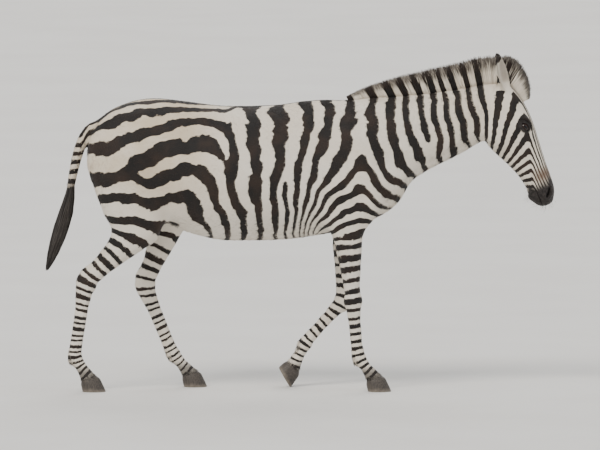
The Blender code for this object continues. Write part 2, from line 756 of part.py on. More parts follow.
def coronet_cutter(name, pose, spread):
    """A block under the hoof's top face: it trims the pastern to stand on the horn."""
    height, _, back, fall = HOOF[-1]
    reach = HOOF_LENGTH
    slope = fall / (HOOF_LENGTH * HOOF[-1][1])
    level = height - fall / 2 + GAP
    outline = [
        (-back - reach, level - slope * reach),
        (-back + reach, level + slope * reach),
        (-back + reach, -reach),
        (-back - reach, -reach),
    ]
    made = prism(name, outline, -HOOF_WIDTH, HOOF_WIDTH)
    made.data.transform(hoof_matrix(pose, spread))
    return made


# ---------------------------------------------------------------- ears, eyes, mane and tail
# Share of the ear's length, half width, depth of the cup, thickness of its wall.
EAR = (
    (-0.16, 0.022, 0.016, 0.0080),
    (0.00, 0.026, 0.023, 0.0080),
    (0.14, 0.033, 0.028, 0.0065),
    (0.34, 0.0400, 0.027, 0.0055),
    (0.56, 0.0410, 0.021, 0.0050),
    (0.76, 0.0345, 0.013, 0.0045),
    (0.91, 0.0220, 0.006, 0.0040),
    (0.99, 0.0080, 0.002, 0.0030),
)


def ear(name, side):
    """A leaf-shaped cup that opens forwards and outwards."""
    lips, brow = head_axes()
    base = head_point(0.018, 0.022, side * 0.046)
    up = (-lips * 0.92 + brow * 0.16 + Vector((0, side * 0.32, 0))).normalized()
    outlook = brow * 0.80 + Vector((0, side * 0.60, 0))
    opening = (outlook - up * outlook.dot(up)).normalized()
    across = up.cross(opening).normalized()
    arc = 6
    rings = []
    for share, half, depth, wall in EAR:
        centre = base + up * (EAR_LENGTH * share) - opening * 0.010 * share
        outer, inner = [], []
        for k in range(arc + 1):
            t = math.pi * k / arc
            c, s = math.cos(t), math.sin(t)
            outer.append(centre + across * half * c - opening * depth * s)
            shrink = max(half - wall, half * 0.35)
            hollow = max(depth - wall, -0.001)
            floor = hollow if share > 0.10 else hollow * 0.25
            inner.append(centre + across * shrink * c - opening * (floor * s - 0.001))
        rings.append(outer + inner[::-1])
    return loft(name, rings)


# Foot of the mane (x, z), how high the hair stands over the skin, and its lean from the vertical.
MANE_LINE = (
    (0.440, 1.255, 0.022, -30.0),
    (0.545, 1.264, 0.058, -30.0),
    (0.670, 1.274, 0.090, -26.0),
    (0.800, 1.290, 0.108, -22.0),
    (0.920, 1.312, 0.116, -18.0),
    (1.023, 1.326, 0.120, -10.0),
    (1.085, 1.322, 0.120, 8.0),
    (1.127, 1.300, 0.106, 30.0),
    (1.153, 1.268, 0.070, 46.0),
    (1.165, 1.236, 0.030, 60.0),
)
MANE_FOOT, MANE_ROOT = 0.017, 0.025


def crest(name, stations):
    """A standing crest of hair: a thin wall with a rounded top, its foot inside the flesh."""
    profile = ((1.0, 0.0), (1.0, 0.4), (0.75, 0.8), (0.4, 0.96))
    rings = []
    for foot, height, out in stations:
        wall = [(MANE_FOOT * wide, height * lift) for wide, lift in profile]
        around = wall + [(0.0, height)] + [(-y, lift) for y, lift in reversed(wall)]
        rings.append([foot + out * lift + Vector((0, y, 0)) for y, lift in around])
    return loft(name, rings)


def subdivided(values, steps):
    """A smooth run through the values, with steps points to each stretch."""
    made = []
    for i in range(len(values) - 1):
        a, b = values[i], values[i + 1]
        before, after = values[max(i - 1, 0)], values[min(i + 2, len(values) - 1)]
        for k in range(steps):
            t = k / steps
            bend = 2 * before - 5 * a + 4 * b - after
            twist = 3 * a - before - 3 * b + after
            made.append((2 * a + (b - before) * t + bend * t**2 + twist * t**3) * 0.5)
    made.append(values[-1])
    return made


def mane():
    steps = 2
    feet = subdivided([Vector((x, 0, z)) for x, z, _, _ in MANE_LINE], steps)
    heights = subdivided([height for _, _, height, _ in MANE_LINE], steps)
    leans = subdivided([lean_angle for _, _, _, lean_angle in MANE_LINE], steps)
    stations = []
    for foot, height, angle in zip(feet, heights, leans):
        out = Vector((math.sin(math.radians(angle)), 0, math.cos(math.radians(angle))))
        stations.append((foot - out * MANE_ROOT, height + MANE_ROOT, out))
    return crest("mane", stations)


# Tail: x, z of its middle line and its half thickness, from inside the croup to the end of the dock.
DOCK = (
    (-0.590, 1.175, 0.034),
    (-0.655, 1.160, 0.034),
    (-0.712, 1.105, 0.030),
    (-0.746, 1.020, 0.026),
    (-0.768, 0.920, 0.022),
    (-0.784, 0.830, 0.018),
)
TUFT = (
    (-0.764, 0.940, 0.014),
    (-0.778, 0.860, 0.031),
    (-0.800, 0.760, 0.042),
    (-0.830, 0.660, 0.040),
    (-0.858, 0.575, 0.027),
    (-0.880, 0.515, 0.006),
)
TUFT_FLATTENING = 0.85


def tube(name, line, flattening=1.0):
    """A round tapered tube along a line in the middle plane."""
    steps, count = 2, 12
    middle = subdivided([Vector((x, 0, z)) for x, z, _ in line], steps)
    radii = subdivided([radius for _, _, radius in line], steps)
    rings = []
    for i, (centre, radius) in enumerate(zip(middle, radii)):
        run = (middle[min(i + 1, len(middle) - 1)] - middle[max(i - 1, 0)]).normalized()
        up = Vector((-run.z, 0, run.x))
        depth = radius * flattening
        rings.append(ring(centre, Vector((0, 1, 0)), up, radius, depth, depth, count=count))
    return loft(name, rings)


def eyeball(name, side):
    centre = head_point(EYE_ALONG, EYE_ABOVE, side * EYE_OUT)
    return ball(name, centre, (EYE_RADIUS,) * 3, segments=14, rings=9)


def trimmed(obj, neighbours):
    """The object without what lies inside its neighbours, and clear of them by the gap."""
    cutters = [inflated(n) for n in neighbours]
    name, mesh = obj.name, obj.data
    obj.name = f"{name}_rough"
    made = combine(name, mesh, [("DIFFERENCE", c) for c in cutters])
    drop(obj)
    for cutter in cutters:
        drop(cutter)
    return made


# ---------------------------------------------------------------- finish
def paint(obj, colour, roughness):
    material = bpy.data.materials.get(colour) or bpy.data.materials.new(colour)
    material.use_nodes = True
    shader = material.node_tree.nodes["Principled BSDF"]
    shader.inputs["Base Color"].default_value = (*COAT[colour], 1.0)
    shader.inputs["Roughness"].default_value = roughness
    shader.inputs["Metallic"].default_value = 0.0
    obj.data.materials.clear()
    obj.data.materials.append(material)


def centre_on_ground(objects):
    """Moves all pieces so that the origin is under the middle of the whole."""
    corners = np.array([v.co for obj in objects for v in obj.data.vertices])
    low, high = corners.min(0), corners.max(0)
    shift = Vector((-(low[0] + high[0]) / 2, -(low[1] + high[1]) / 2, -low[2]))
    for obj in objects:
        obj.data.transform(Matrix.Translation(shift))
    return shift


def build():
    for obj in list(bpy.data.objects):
        bpy.data.objects.remove(obj)
    forms = [trunk_form(), neck_form(), head_form()]
    forms += head_muscles() + trunk_muscles()
    for name in SIDES:
        forms += foreleg_forms(name) + hind_leg_forms(name)
    flesh = relax_trunk(fuse(forms))
    model_face(flesh)
    flesh = thin_out(flesh)
    pieces, cutters = part_flesh(flesh)

    hooves = {}
    for name, side in SIDES.items():
        for kind, pose, spread, narrower in (
            ("fore", FORELEGS[name], side * FORE_SPREAD, 1.0),
            ("hind", HIND_LEGS[name], side * HIND_SPREAD, HIND_NARROWER),
        ):
            hooves[f"{kind}_hoof_{name}"] = hoof(f"{kind}_hoof_{name}", pose, spread, narrower)
            leg = "foreleg" if kind == "fore" else "hind_leg"
            cutter = coronet_cutter(f"{kind}_coronet_{name}", pose, spread)
            rough = pieces.pop(f"{leg}_{name}")
            rough.name = "rough_leg"
            pieces[f"{leg}_{name}"] = combine(f"{leg}_{name}", rough.data, [("DIFFERENCE", cutter)])
            drop(rough)
            drop(cutter)

    for name, side in SIDES.items():
        eye = eyeball(f"eye_{name}", side)
        head = pieces.pop("head")
        pieces["head"] = trimmed(head, [eye])
        pieces[f"eye_{name}"] = eye
    for name, side in SIDES.items():
        pieces[f"ear_{name}"] = trimmed(ear(f"ear_{name}", side), [pieces["head"]])
    whole = bpy.data.objects.new("whole_flesh", flesh)
    bpy.context.scene.collection.objects.link(whole)
    pieces["mane"] = trimmed(mane(), [whole, pieces["ear_left"], pieces["ear_right"]])
    drop(whole)
    pieces["tail"] = trimmed(tube("tail", DOCK), [pieces["trunk"]])
    pieces["tail_tuft"] = trimmed(tube("tail_tuft", TUFT, TUFT_FLATTENING), [pieces["tail"]])
    for cutter in cutters:
        drop(cutter)
    pieces.update(hooves)

    for name, obj in pieces.items():
        if "hoof" in name:
            paint(obj, "horn", 0.45)
        elif name.startswith("eye"):
            paint(obj, "black", 0.08)
        elif "tuft" in name:
            paint(obj, "black", 0.7)
        else:
            paint(obj, "white", 0.75)
        obj.data.shade_smooth()
        obj.data.set_sharp_from_angle(angle=math.radians(50))
    centre_on_ground(list(pieces.values()))


build()
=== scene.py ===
"""A life-size still model of a plains zebra in mid walk, its head low.

One skin stands for the flesh, and carries a coat of small tufts with its stripes. The mane, the
tail hair, the eyes and the hooves are pieces of their own.
"""

import math

import bpy
import numpy as np
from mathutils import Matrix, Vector
from mathutils.bvhtree import BVHTree


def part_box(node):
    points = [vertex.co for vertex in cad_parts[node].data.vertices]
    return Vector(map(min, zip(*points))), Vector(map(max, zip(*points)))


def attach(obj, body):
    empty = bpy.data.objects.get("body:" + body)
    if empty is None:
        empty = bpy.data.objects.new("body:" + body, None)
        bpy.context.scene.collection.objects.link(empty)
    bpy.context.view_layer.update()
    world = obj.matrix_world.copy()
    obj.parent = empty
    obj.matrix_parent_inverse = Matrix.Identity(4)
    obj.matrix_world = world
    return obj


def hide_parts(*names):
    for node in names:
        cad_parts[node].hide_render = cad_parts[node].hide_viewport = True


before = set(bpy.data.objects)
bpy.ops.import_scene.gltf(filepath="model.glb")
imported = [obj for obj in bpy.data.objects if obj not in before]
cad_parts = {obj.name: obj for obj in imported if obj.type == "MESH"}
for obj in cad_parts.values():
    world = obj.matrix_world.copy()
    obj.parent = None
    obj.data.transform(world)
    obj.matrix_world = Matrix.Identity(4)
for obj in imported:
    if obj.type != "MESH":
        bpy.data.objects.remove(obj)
bpy.ops.object.select_all(action="DESELECT")
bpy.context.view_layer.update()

FLESH = [
    "trunk", "neck", "head", "ear_left", "ear_right", "tail",
    "foreleg_left", "foreleg_right", "hind_leg_left", "hind_leg_right",
]
HOOVES = ("fore_hoof_left", "fore_hoof_right", "hind_hoof_left", "hind_hoof_right")
SIDES = {"left": 1, "right": -1}
RNG = np.random.default_rng(11)
GRAIN = 0.0035  # spacing of the skin's points before it is thinned
THINNED = 138000  # the skin's triangles before those round the eyes and muzzle are split again
BODY_SHIFT = 0.227  # body places are measured from a point this far behind the model's middle

HEAD_PITCH = math.radians(65)
HEAD_GROWTH = 1.0415  # the head's places are given for a head 0.530 long
TO_LIPS = np.array((math.cos(HEAD_PITCH), 0.0, -math.sin(HEAD_PITCH)))
TO_BROW = np.array((math.sin(HEAD_PITCH), 0.0, math.cos(HEAD_PITCH)))
EYE_PLACE = (0.188, 0.016)  # along and above on the head
EYE_RADIUS = 0.0215
EAR_LENGTH = 0.165


# ---------------- small tools

def only(obj):
    """Selects one object and nothing else."""
    bpy.ops.object.select_all(action="DESELECT")
    obj.select_set(True)
    bpy.context.view_layer.objects.active = obj


def finish_with(obj, kind, **settings):
    """Adds a modifier and applies it."""
    modifier = obj.modifiers.new(kind.lower(), kind)
    for key, value in settings.items():
        setattr(modifier, key, value)
    only(obj)
    bpy.ops.object.modifier_apply(modifier=modifier.name)


def rows(members, key, wide=3, kind=np.float32):
    """One value of every member of a mesh's list, as rows."""
    flat = np.empty(len(members) * wide, kind)
    members.foreach_get(key, flat)
    return flat.reshape(-1, wide)


def points_of(obj):
    return rows(obj.data.vertices, "co").astype(float)


def normals_of(obj):
    return rows(obj.data.vertices, "normal").astype(float)


def edges_of(obj):
    return rows(obj.data.edges, "vertices", 2, np.int32)


def move_points(obj, points):
    obj.data.vertices.foreach_set("co", points.astype(np.float32).ravel())
    obj.data.update()


def tree_of(obj):
    return BVHTree.FromObject(obj, bpy.context.evaluated_depsgraph_get())


def unit(ways):
    return ways / np.linalg.norm(ways, axis=-1, keepdims=True)


def vectors(x, y, z):
    return np.stack(np.broadcast_arrays(x, y, z), 1).astype(float)


def ease(value, start, end):
    """From 0 at the start to 1 at the end, on a soft curve."""
    t = np.clip((value - start) / (end - start), 0, 1)
    return t * t * (3 - 2 * t)


def fade(value, start, end):
    return 1 - ease(value, start, end)


def bell(value, width):
    return np.exp(-((value / width) ** 2))


def blend(a, b, share):
    return a * (1 - share) + b * share


def softer(a, b, scale):
    """The greater of two values, with the corner between them rounded."""
    top = np.maximum(a, b)
    return top + scale * np.log(np.exp((a - top) / scale) + np.exp((b - top) / scale))


def relax(points, edges, strength, passes):
    """Each point drifts towards the middle of its neighbours, by its own strength."""
    count = len(points)
    near, far = edges[:, 0], edges[:, 1]
    share = np.maximum(np.bincount(edges.ravel(), minlength=count), 1)
    for _ in range(passes):
        for axis in range(3):
            c = points[:, axis]
            total = np.bincount(near, c[far], count) + np.bincount(far, c[near], count)
            points[:, axis] = c + strength * (total / share - c)
    return points


def smooth_path(corners, steps=8):
    """A soft line through the given places."""
    corners = [np.array(c, float) for c in corners]
    corners = [2 * corners[0] - corners[1], *corners, 2 * corners[-1] - corners[-2]]
    line = []
    for a, b, c, d in zip(corners[:-3], corners[1:-2], corners[2:-1], corners[3:]):
        for t in np.linspace(0, 1, steps, endpoint=False):
            bend = (2 * a - 5 * b + 4 * c - d) * t ** 2 + (3 * b - a - 3 * c + d) * t ** 3
            line.append(0.5 * (2 * b + (c - a) * t + bend))
    line.append(corners[-2])
    return line


def middle(node):
    low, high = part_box(node)
    return np.array((low + high) / 2)


def copy_of(node):
    """A copy of a solid, on its own mesh."""
    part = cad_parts[node].copy()
    part.data = part.data.copy()
    part.parent = None
    for key in list(part.keys()):
        del part[key]
    bpy.context.collection.objects.link(part)
    return part


def merge_doubles():
    """Joins the corners that the selected objects' loose triangles share."""
    bpy.ops.object.mode_set(mode="EDIT")
    bpy.ops.mesh.select_all(action="SELECT")
    bpy.ops.mesh.remove_doubles(threshold=0.00002)
    bpy.ops.object.mode_set(mode="OBJECT")


def smooth(obj):
    only(obj)
    bpy.ops.object.shade_smooth()


def wear(obj, material):
    obj.data.materials.clear()
    obj.data.materials.append(material)


def keep_marks(obj, marks):
    for name, values in marks.items():
        layer = obj.data.attributes.new(name, "FLOAT_VECTOR", "POINT")
        layer.data.foreach_set("vector", values.astype(np.float32).ravel())


# ---------------- places on the body

def body_places(points):
    return points[:, 0] + BODY_SHIFT, points[:, 1], points[:, 2]


EYES = {name: middle("eye_" + name) for name in SIDES}
POLL = (EYES["left"] + EYES["right"]) / 2 - HEAD_GROWTH * (EYE_PLACE[0] * TO_LIPS + EYE_PLACE[1] * TO_BROW)
POLL[1] = 0.0  # the head's places are measured from here


def on_head(along, above, out):
    return POLL + HEAD_GROWTH * (along * TO_LIPS + above * TO_BROW) + np.array((0.0, HEAD_GROWTH * out, 0.0))


def head_places(points):
    """Along the face towards the lips, above its middle line, and out to the side."""
    gap = (points - POLL) / HEAD_GROWTH
    return gap @ TO_LIPS, gap @ TO_BROW, gap[:, 1]


def ear_up(side):
    return -0.92 * TO_LIPS + 0.16 * TO_BROW + np.array((0.0, side * 0.32, 0.0))


def ear_places(points, side):
    """Share of the ear's length, how far across it and how deep in it, and the way that its cup opens."""
    up = unit(ear_up(side))
    opening = 0.8 * TO_BROW + np.array((0.0, side * 0.6, 0.0))
    opening = unit(opening - (opening @ up) * up)
    gap = points - on_head(0.018, 0.022, side * 0.046)
    return (gap @ up) / EAR_LENGTH, gap @ np.cross(up, opening), gap @ opening, opening


def eye_axes(side):
    """Out of the eye, along its opening to the corner by the nose, and up across the lids."""
    out = unit(0.34 * TO_BROW + 0.1 * TO_LIPS + np.array((0.0, side * 0.93, 0.0)))
    along = math.cos(math.radians(20)) * TO_LIPS + math.sin(math.radians(20)) * TO_BROW
    along = unit(along - (along @ out) * out)
    up = np.cross(out, along)
    return out, along, -up if up @ TO_BROW < 0 else up


# Middle line of each limb, as (x, z), from shoulder or stifle to the ground.
LIMBS = {
    ("fore", "right"): [
        (0.5, 1.0), (0.428, 0.722), (0.458, 0.396), (0.484, 0.148), (0.55, 0.057), (0.58, 0.0),
    ],
    ("fore", "left"): [
        (0.5, 1.0), (0.428, 0.722), (0.416, 0.375), (0.249, 0.189), (0.196, 0.09), (0.165, 0.02),
    ],
    ("hind", "right"): [(-0.45, 0.712), (-0.703, 0.478), (-0.754, 0.152), (-0.695, 0.057), (-0.67, 0.0)],
    ("hind", "left"): [(-0.308, 0.763), (-0.451, 0.449), (-0.327, 0.143), (-0.255, 0.057), (-0.23, 0.0)],
}


def limb_line(kind, side):
    """A limb's middle line on a soft curve, and how far down it each of its points is."""
    line = np.array(smooth_path(LIMBS[kind, side], 5))
    return line, np.concatenate(([0.0], np.cumsum(np.linalg.norm(np.diff(line, axis=0), axis=1))))


def beside_limb(kind, side, offset, down):
    """Places along a limb, offset forwards of its middle line."""
    line, length = limb_line(kind, side)
    x, z = np.interp(down, length, line[:, 0]), np.interp(down, length, line[:, 1])
    step = unit(np.gradient(np.stack([x, z], 1), axis=0))
    return x - offset * step[:, 1], z + offset * step[:, 0]


# ---------------- the skin's first shape

def joined_flesh():
    """One mesh from copies of the flesh, swollen a hair so that the cuts between them close."""
    parts = [copy_of(node) for node in FLESH + ["eye_left", "eye_right"]]
    bpy.ops.object.select_all(action="DESELECT")
    for part in parts:
        part.select_set(True)
    bpy.context.view_layer.objects.active = parts[-1]
    bpy.ops.object.join()
    skin = bpy.context.active_object
    skin.name = "skin"
    skin.data.name = "skin"
    merge_doubles()
    finish_with(skin, "DISPLACE", mid_level=0, strength=0.0007)
    finish_with(skin, "REMESH", mode="VOXEL", voxel_size=GRAIN)
    return skin


def softness(points):
    """How far the flats of the solids are eased away: most on the barrel, least on ears and legs."""
    x, z = points[:, 0], points[:, 2]
    barrel = ease(z, 0.6, 0.78) * fade(x, 0.62, 0.8) * fade(-x, 0.915, 0.945)
    neck = ease(x, 0.55, 0.7) * fade(x, 0.76, 0.84) * ease(z, 0.7, 0.8)
    face = ease(head_places(points)[0], 0.02, 0.07) * ease(x, 0.78, 0.84)
    leg = fade(z, 0.45, 0.6)
    return np.clip(0.09 + 0.91 * barrel + 0.5 * neck + 0.16 * face + 0.05 * leg, 0, 1)


def coat_depth(points):
    """How deep the coat is: thinner on face and legs, and next to nothing on the thin walls of the ears."""
    x, z = points[:, 0], points[:, 2]
    face = ease(head_places(points)[0], 0.02, 0.12) * ease(x, 0.8, 0.86)
    leg = fade(z, 0.45, 0.75)
    depth = 0.0045 - 0.0028 * np.maximum(face, leg)
    for side in SIDES.values():
        share_up, across, deep, _ = ear_places(points, side)
        on_ear = ease(share_up, -0.12, 0.1) * (np.abs(across) < 0.06) * (np.abs(deep) < 0.05)
        depth = blend(depth, 0.0005, on_ear)
    return depth


def thin_out(skin, triangles):
    """Wide faces on the barrel, finer ones on legs and tail, and the finest on the head."""
    points = points_of(skin)
    x, z = points[:, 0], points[:, 2]
    slim = np.maximum(fade(z, 0.5, 0.66), ease(-x, 0.9, 0.93))
    worth = (0.67 - 0.37 * slim) * fade(x, 0.78, 0.84)
    group = skin.vertex_groups.new(name="worth")
    level = np.round(worth * 20).astype(int)
    for step in range(1, 21):
        group.add(np.flatnonzero(level == step).tolist(), step / 20, "REPLACE")
    ratio = triangles / (2 * len(skin.data.polygons))
    finish_with(skin, "DECIMATE", ratio=ratio, vertex_group="worth", use_collapse_triangulate=True)
    skin.vertex_groups.clear()


def round_off(skin, passes):
    """Eases the flats out of barrel, neck and haunch, and gives back the girth that this takes."""
    before = points_of(skin)
    x, z = before[:, 0], before[:, 2]
    broad = ease(z, 0.56, 0.72) * fade(-x, 0.885, 0.925) * fade(x, 0.74, 0.82)
    edges = edges_of(skin)
    points = relax(before.copy(), edges, 0.5 * broad, passes)
    lost = relax(before - points, edges, 0.5 * broad, passes)
    move_points(skin, points + lost)


def refine(skin, spots):
    """Splits the faces near each spot, given as a place and a reach, once."""
    centres = rows(skin.data.polygons, "center")
    chosen = np.zeros(len(centres), bool)
    for place, reach in spots:
        chosen |= np.linalg.norm(centres - place, axis=1) < reach
    only(skin)
    bpy.ops.object.mode_set(mode="EDIT")
    bpy.ops.mesh.select_mode(type="FACE")
    bpy.ops.mesh.select_all(action="DESELECT")
    bpy.ops.object.mode_set(mode="OBJECT")
    skin.data.polygons.foreach_set("select", chosen)
    bpy.ops.object.mode_set(mode="EDIT")
    bpy.ops.mesh.subdivide(number_cuts=1)
    bpy.ops.mesh.quads_convert_to_tris()
    bpy.ops.mesh.select_all(action="DESELECT")
    bpy.ops.object.mode_set(mode="OBJECT")


# ---------------- lids, face and muscle

LID_LENGTH = 0.0218  # half the opening between the lids, from corner to corner
LID_TOP = 0.0142  # how far it opens above that line
LID_BOTTOM = 0.0118  # and below it


def eyelids(points, name):
    """Lids drawn round the eyeball, with a fold above and a softer one below."""
    out, along, up = eye_axes(SIDES[name])
    gap = points - EYES[name]
    near = np.flatnonzero((np.linalg.norm(gap, axis=1) < 0.06) & (gap @ out > -0.012))
    t, u, h = gap[near] @ along, gap[near] @ up, gap[near] @ out
    lower = LID_BOTTOM * (1 - 0.22 * (t / LID_LENGTH)).clip(0.5, 1.5)
    droop = -0.002 * (t / LID_LENGTH)
    ring = np.sqrt((t / LID_LENGTH) ** 2 + ((u - droop) / np.where(u > 0, LID_TOP, lower)) ** 2)

    # Points near the opening move onto its edge.
    rim = np.abs(ring - 1) < 0.115
    scale = np.where(rim, 1 / np.maximum(ring, 0.2), 1.0)
    t, u = t * scale, u * scale
    ring = np.where(rim, 1.0, ring)

    # Inside it the skin lies under the eyeball, and outside it over it, as a lid.
    reach = np.hypot(t, u)
    ball = np.sqrt(np.clip(EYE_RADIUS ** 2 - reach ** 2, 0, None))
    floor = np.maximum(ball - 0.0035, 0.0045)
    lid = np.sqrt(np.clip((EYE_RADIUS + 0.0026) ** 2 - reach ** 2, 0.0098 ** 2, None))
    beyond = np.clip(ring - 1, 0, None)
    lid = lid - 0.0008 * bell(beyond, 0.1) + 0.0006 * bell(beyond - 0.35, 0.25)

    # Folds of the upper and lower lid, and the brow.
    upper = ease(u, -0.002, 0.008)
    toward_nose = ease(t, -0.02, 0.016)
    fold = -0.0024 * bell(ring - 1.62 - 0.16 * toward_nose, 0.14) * upper
    fold += -0.0009 * bell(ring - 2.2, 0.16) * upper * toward_nose
    fold += -0.0008 * bell(ring - 1.6, 0.2) * (1 - upper)
    fold += 0.0052 * bell(ring - 2.35, 0.6) * upper
    made = lid + fold * ease(ring, 1.1, 1.5)
    kept = h + fold * fade(reach, 0.036, 0.058)
    height = np.where(ring < 0.999, floor, blend(made, kept, ease(reach, 0.024, 0.046)))
    points[near] = EYES[name] + np.outer(t, along) + np.outer(u, up) + np.outer(height, out)


def stroke(points, normals, path, width, depth, lift=0.0, ends=(0.3, 0.3)):
    """Draws a groove along a path, or a ridge, with its edges raised by lift and its ends running out."""
    path = np.array(path)
    low, high = path.min(0) - 4 * width, path.max(0) + 4 * width
    near = np.flatnonzero(np.all((points > low) & (points < high), axis=1))
    best, at = np.full(len(near), 9.0), np.zeros(len(near))
    for i, (a, b) in enumerate(zip(path[:-1], path[1:])):
        step = b - a
        share = np.clip(((points[near] - a) @ step) / max(step @ step, 1e-12), 0, 1)
        gap = np.linalg.norm(points[near] - a - share[:, None] * step, axis=1)
        at = np.where(gap < best, (i + share) / (len(path) - 1), at)
        best = np.minimum(best, gap)
    move = -depth * bell(best, width) + lift * bell(best - 1.9 * width, 0.9 * width)
    for share, run_out in ((at, ends[0]), (1 - at, ends[1])):
        if run_out:
            move = move * ease(share, 0, run_out)
    points[near] += normals[near] * move[:, None]


def knead(points, place, reach, push):
    """Pushes the skin near a place by a vector, fading out over its reach."""
    gap = np.linalg.norm(points - place, axis=1)
    points += bell(gap, reach)[:, None] * np.asarray(push)


def face_line(tree, side, *places):
    """A soft line over the face through places given along, above and out."""
    corners = smooth_path([on_head(along, above, side * out) for along, above, out in places], 5)
    return [np.array(tree.find_nearest(Vector(c))[0]) for c in corners]


# The mouth and a nostril's two strokes: places along, above and out, then width, depth, lift and ends.
OPENINGS = (
    (((0.53, -0.046, 0.0), (0.516, -0.05, 0.026), (0.484, -0.054, 0.05), (0.445, -0.058, 0.055),
      (0.405, -0.064, 0.052)), 0.0026, 0.0062, 0.0013, (0, 0.16)),
    (((0.446, 0.008, 0.04), (0.46, 0.011, 0.05), (0.474, 0.006, 0.054)), 0.0034, 0.008, 0.0018, (0.35, 0)),
    (((0.468, 0.008, 0.052), (0.484, -0.002, 0.054), (0.496, -0.016, 0.05)), 0.006, 0.016, 0.0034, (0, 0)),
)
# Bones and veins of the face, given as the openings are. A depth under 0 is a ridge.
FACE_LINES = (
    (((0.205, -0.03, 0.085), (0.262, -0.028, 0.08), (0.335, -0.026, 0.07)), 0.0095, -0.0026),
    (((0.215, -0.054, 0.085), (0.28, -0.052, 0.075), (0.37, -0.044, 0.06)), 0.013, 0.0026),
    (((0.19, -0.15, 0.05), (0.245, -0.118, 0.06), (0.262, -0.085, 0.07)), 0.012, 0.0024),
    (((0.245, -0.09, 0.07), (0.3, -0.05, 0.07), (0.35, -0.02, 0.06), (0.385, 0.0, 0.05)), 0.003, -0.001),
)
# The groove behind the chin, from side to side.
CHIN = ((0.452, -0.104, 0.04), (0.446, -0.11, 0.0), (0.452, -0.104, -0.04))


def carve_face(skin):
    """Nostrils with a rolled rim, the mouth, the chin groove, and the bones and veins of the face."""
    tree = tree_of(skin)
    for side in SIDES.values():
        for lines in (OPENINGS, FACE_LINES):
            points, normals = points_of(skin), normals_of(skin)
            for places, *shape in lines:
                stroke(points, normals, face_line(tree, side, *places), *shape)
            if lines is FACE_LINES:
                inwards = np.array((0, -side, 0))
                mouth_corner = on_head(0.4, -0.064, side * 0.05)
                over_eye = on_head(0.112, 0.03, side * 0.07)
                knead(points, mouth_corner, 0.012, 0.0016 * inwards)
                knead(points, over_eye, 0.022, 0.0034 * inwards - 0.0018 * TO_BROW)
            move_points(skin, points)
    points, normals = points_of(skin), normals_of(skin)
    stroke(points, normals, face_line(tree, 1, *CHIN), 0.006, 0.0026)
    move_points(skin, points)


# Lines of muscle and bone over the body, as (x, z), with width and depth. A depth under 0 is a ridge.
BODY_LINES = (
    (((0.45, 1.215), (0.535, 1.09), (0.63, 0.96)), 0.022, 0.0065),
    (((0.405, 1.18), (0.49, 1.04), (0.575, 0.935)), 0.013, -0.004),
    (((0.325, 1.15), (0.288, 1.01), (0.315, 0.88), (0.372, 0.77)), 0.028, 0.0075),
    (((0.565, 0.905), (0.5, 0.85), (0.425, 0.8)), 0.014, 0.0045),
    (((0.65, 0.88), (0.59, 0.8), (0.535, 0.725)), 0.015, 0.005),
    (((0.985, 1.105), (0.88, 1.045), (0.78, 0.99), (0.705, 0.95)), 0.014, 0.0055),
    (((0.965, 1.24), (0.83, 1.185), (0.7, 1.12), (0.6, 1.085)), 0.026, 0.004),
    (((0.3, 0.78), (0.12, 0.735), (-0.08, 0.74), (-0.2, 0.77)), 0.02, 0.002),
)
RIB = ((0.262, 1.1), (0.236, 0.96), (0.212, 0.82))
RIB_STEP = 0.057
RIBS = [([(x - RIB_STEP * i, z) for x, z in RIB], 0.016, 0.0013) for i in range(9)]
BUTTOCK_TOP = ((-0.605, 1.1), (-0.64, 0.985))  # where the groove down the back of the thigh starts
# Lines of the thigh, as (x, z) for its top end and from the stifle for the rest.
THIGH_LINES = (
    (((-0.372, 1.08),), ((0.03, 0.21), (0.05, 0.105)), 0.02, 0.005),
    (((-0.47, 1.06),), ((-0.06, 0.22), (-0.045, 0.09)), 0.022, 0.0035),
    ((), ((0.2, 0.155), (0.125, 0.13), (0.08, 0.08)), 0.028, 0.006),
    ((), ((0.2, 0.07), (0.115, 0.045), (0.05, 0.02)), 0.014, -0.004),
)
# Grooves down the limbs: which, how far before the middle line, from and to, width and depth.
LIMB_GROOVES = (
    ("fore", -0.004, 0.34, 0.57, 0.0085, 0.0034),
    ("fore", 0.022, 0.33, 0.52, 0.009, 0.0024),
    ("fore", -0.009, 0.655, 0.845, 0.0046, 0.0026),
    ("hind", -0.016, 0.15, 0.325, 0.0095, 0.005),
    ("hind", 0.02, 0.06, 0.26, 0.011, 0.0028),
    ("hind", -0.007, 0.42, 0.64, 0.0048, 0.0026),
)
# Places of flank, hip and shoulder, as (x, z), with the reach of each and how far it is pushed out.
BODY_SPOTS = (
    ((-0.24, 1.115), 0.06, -0.007), ((-0.335, 1.152), 0.03, 0.006), ((-0.45, 1.15), 0.08, 0.004),
    ((0.43, 0.9), 0.075, 0.0055), ((0.376, 0.75), 0.022, 0.0045), ((0.615, 0.915), 0.045, 0.005),
)


def struck(tree, side, x, z, start=0.6, way=-1):
    """Where lines straight across the body meet the skin, from outside inwards or from the middle out."""
    found = []
    for px, pz in zip(x, z):
        hit = tree.ray_cast(Vector((px - BODY_SHIFT, side * start, pz)), Vector((0, way * side, 0)))[0]
        if hit is not None:
            found.append(np.array(hit))
    return found


def thigh_lines(name):
    """The lines of one thigh, which move with its stifle."""
    stifle, hock = (np.array(place) for place in LIMBS["hind", name][:2])
    behind = 0.55 * stifle + 0.45 * hock + np.array((-0.06, 0.13))
    halfway = (np.array(BUTTOCK_TOP[1]) + behind) / 2 - np.array((0.012, 0.0))
    lines = [([*BUTTOCK_TOP, tuple(halfway), tuple(behind)], 0.016, 0.0045)]
    for top, from_stifle, width, depth in THIGH_LINES:
        lines.append(([*top, *[tuple(stifle + gap) for gap in from_stifle]], width, depth))
    return lines


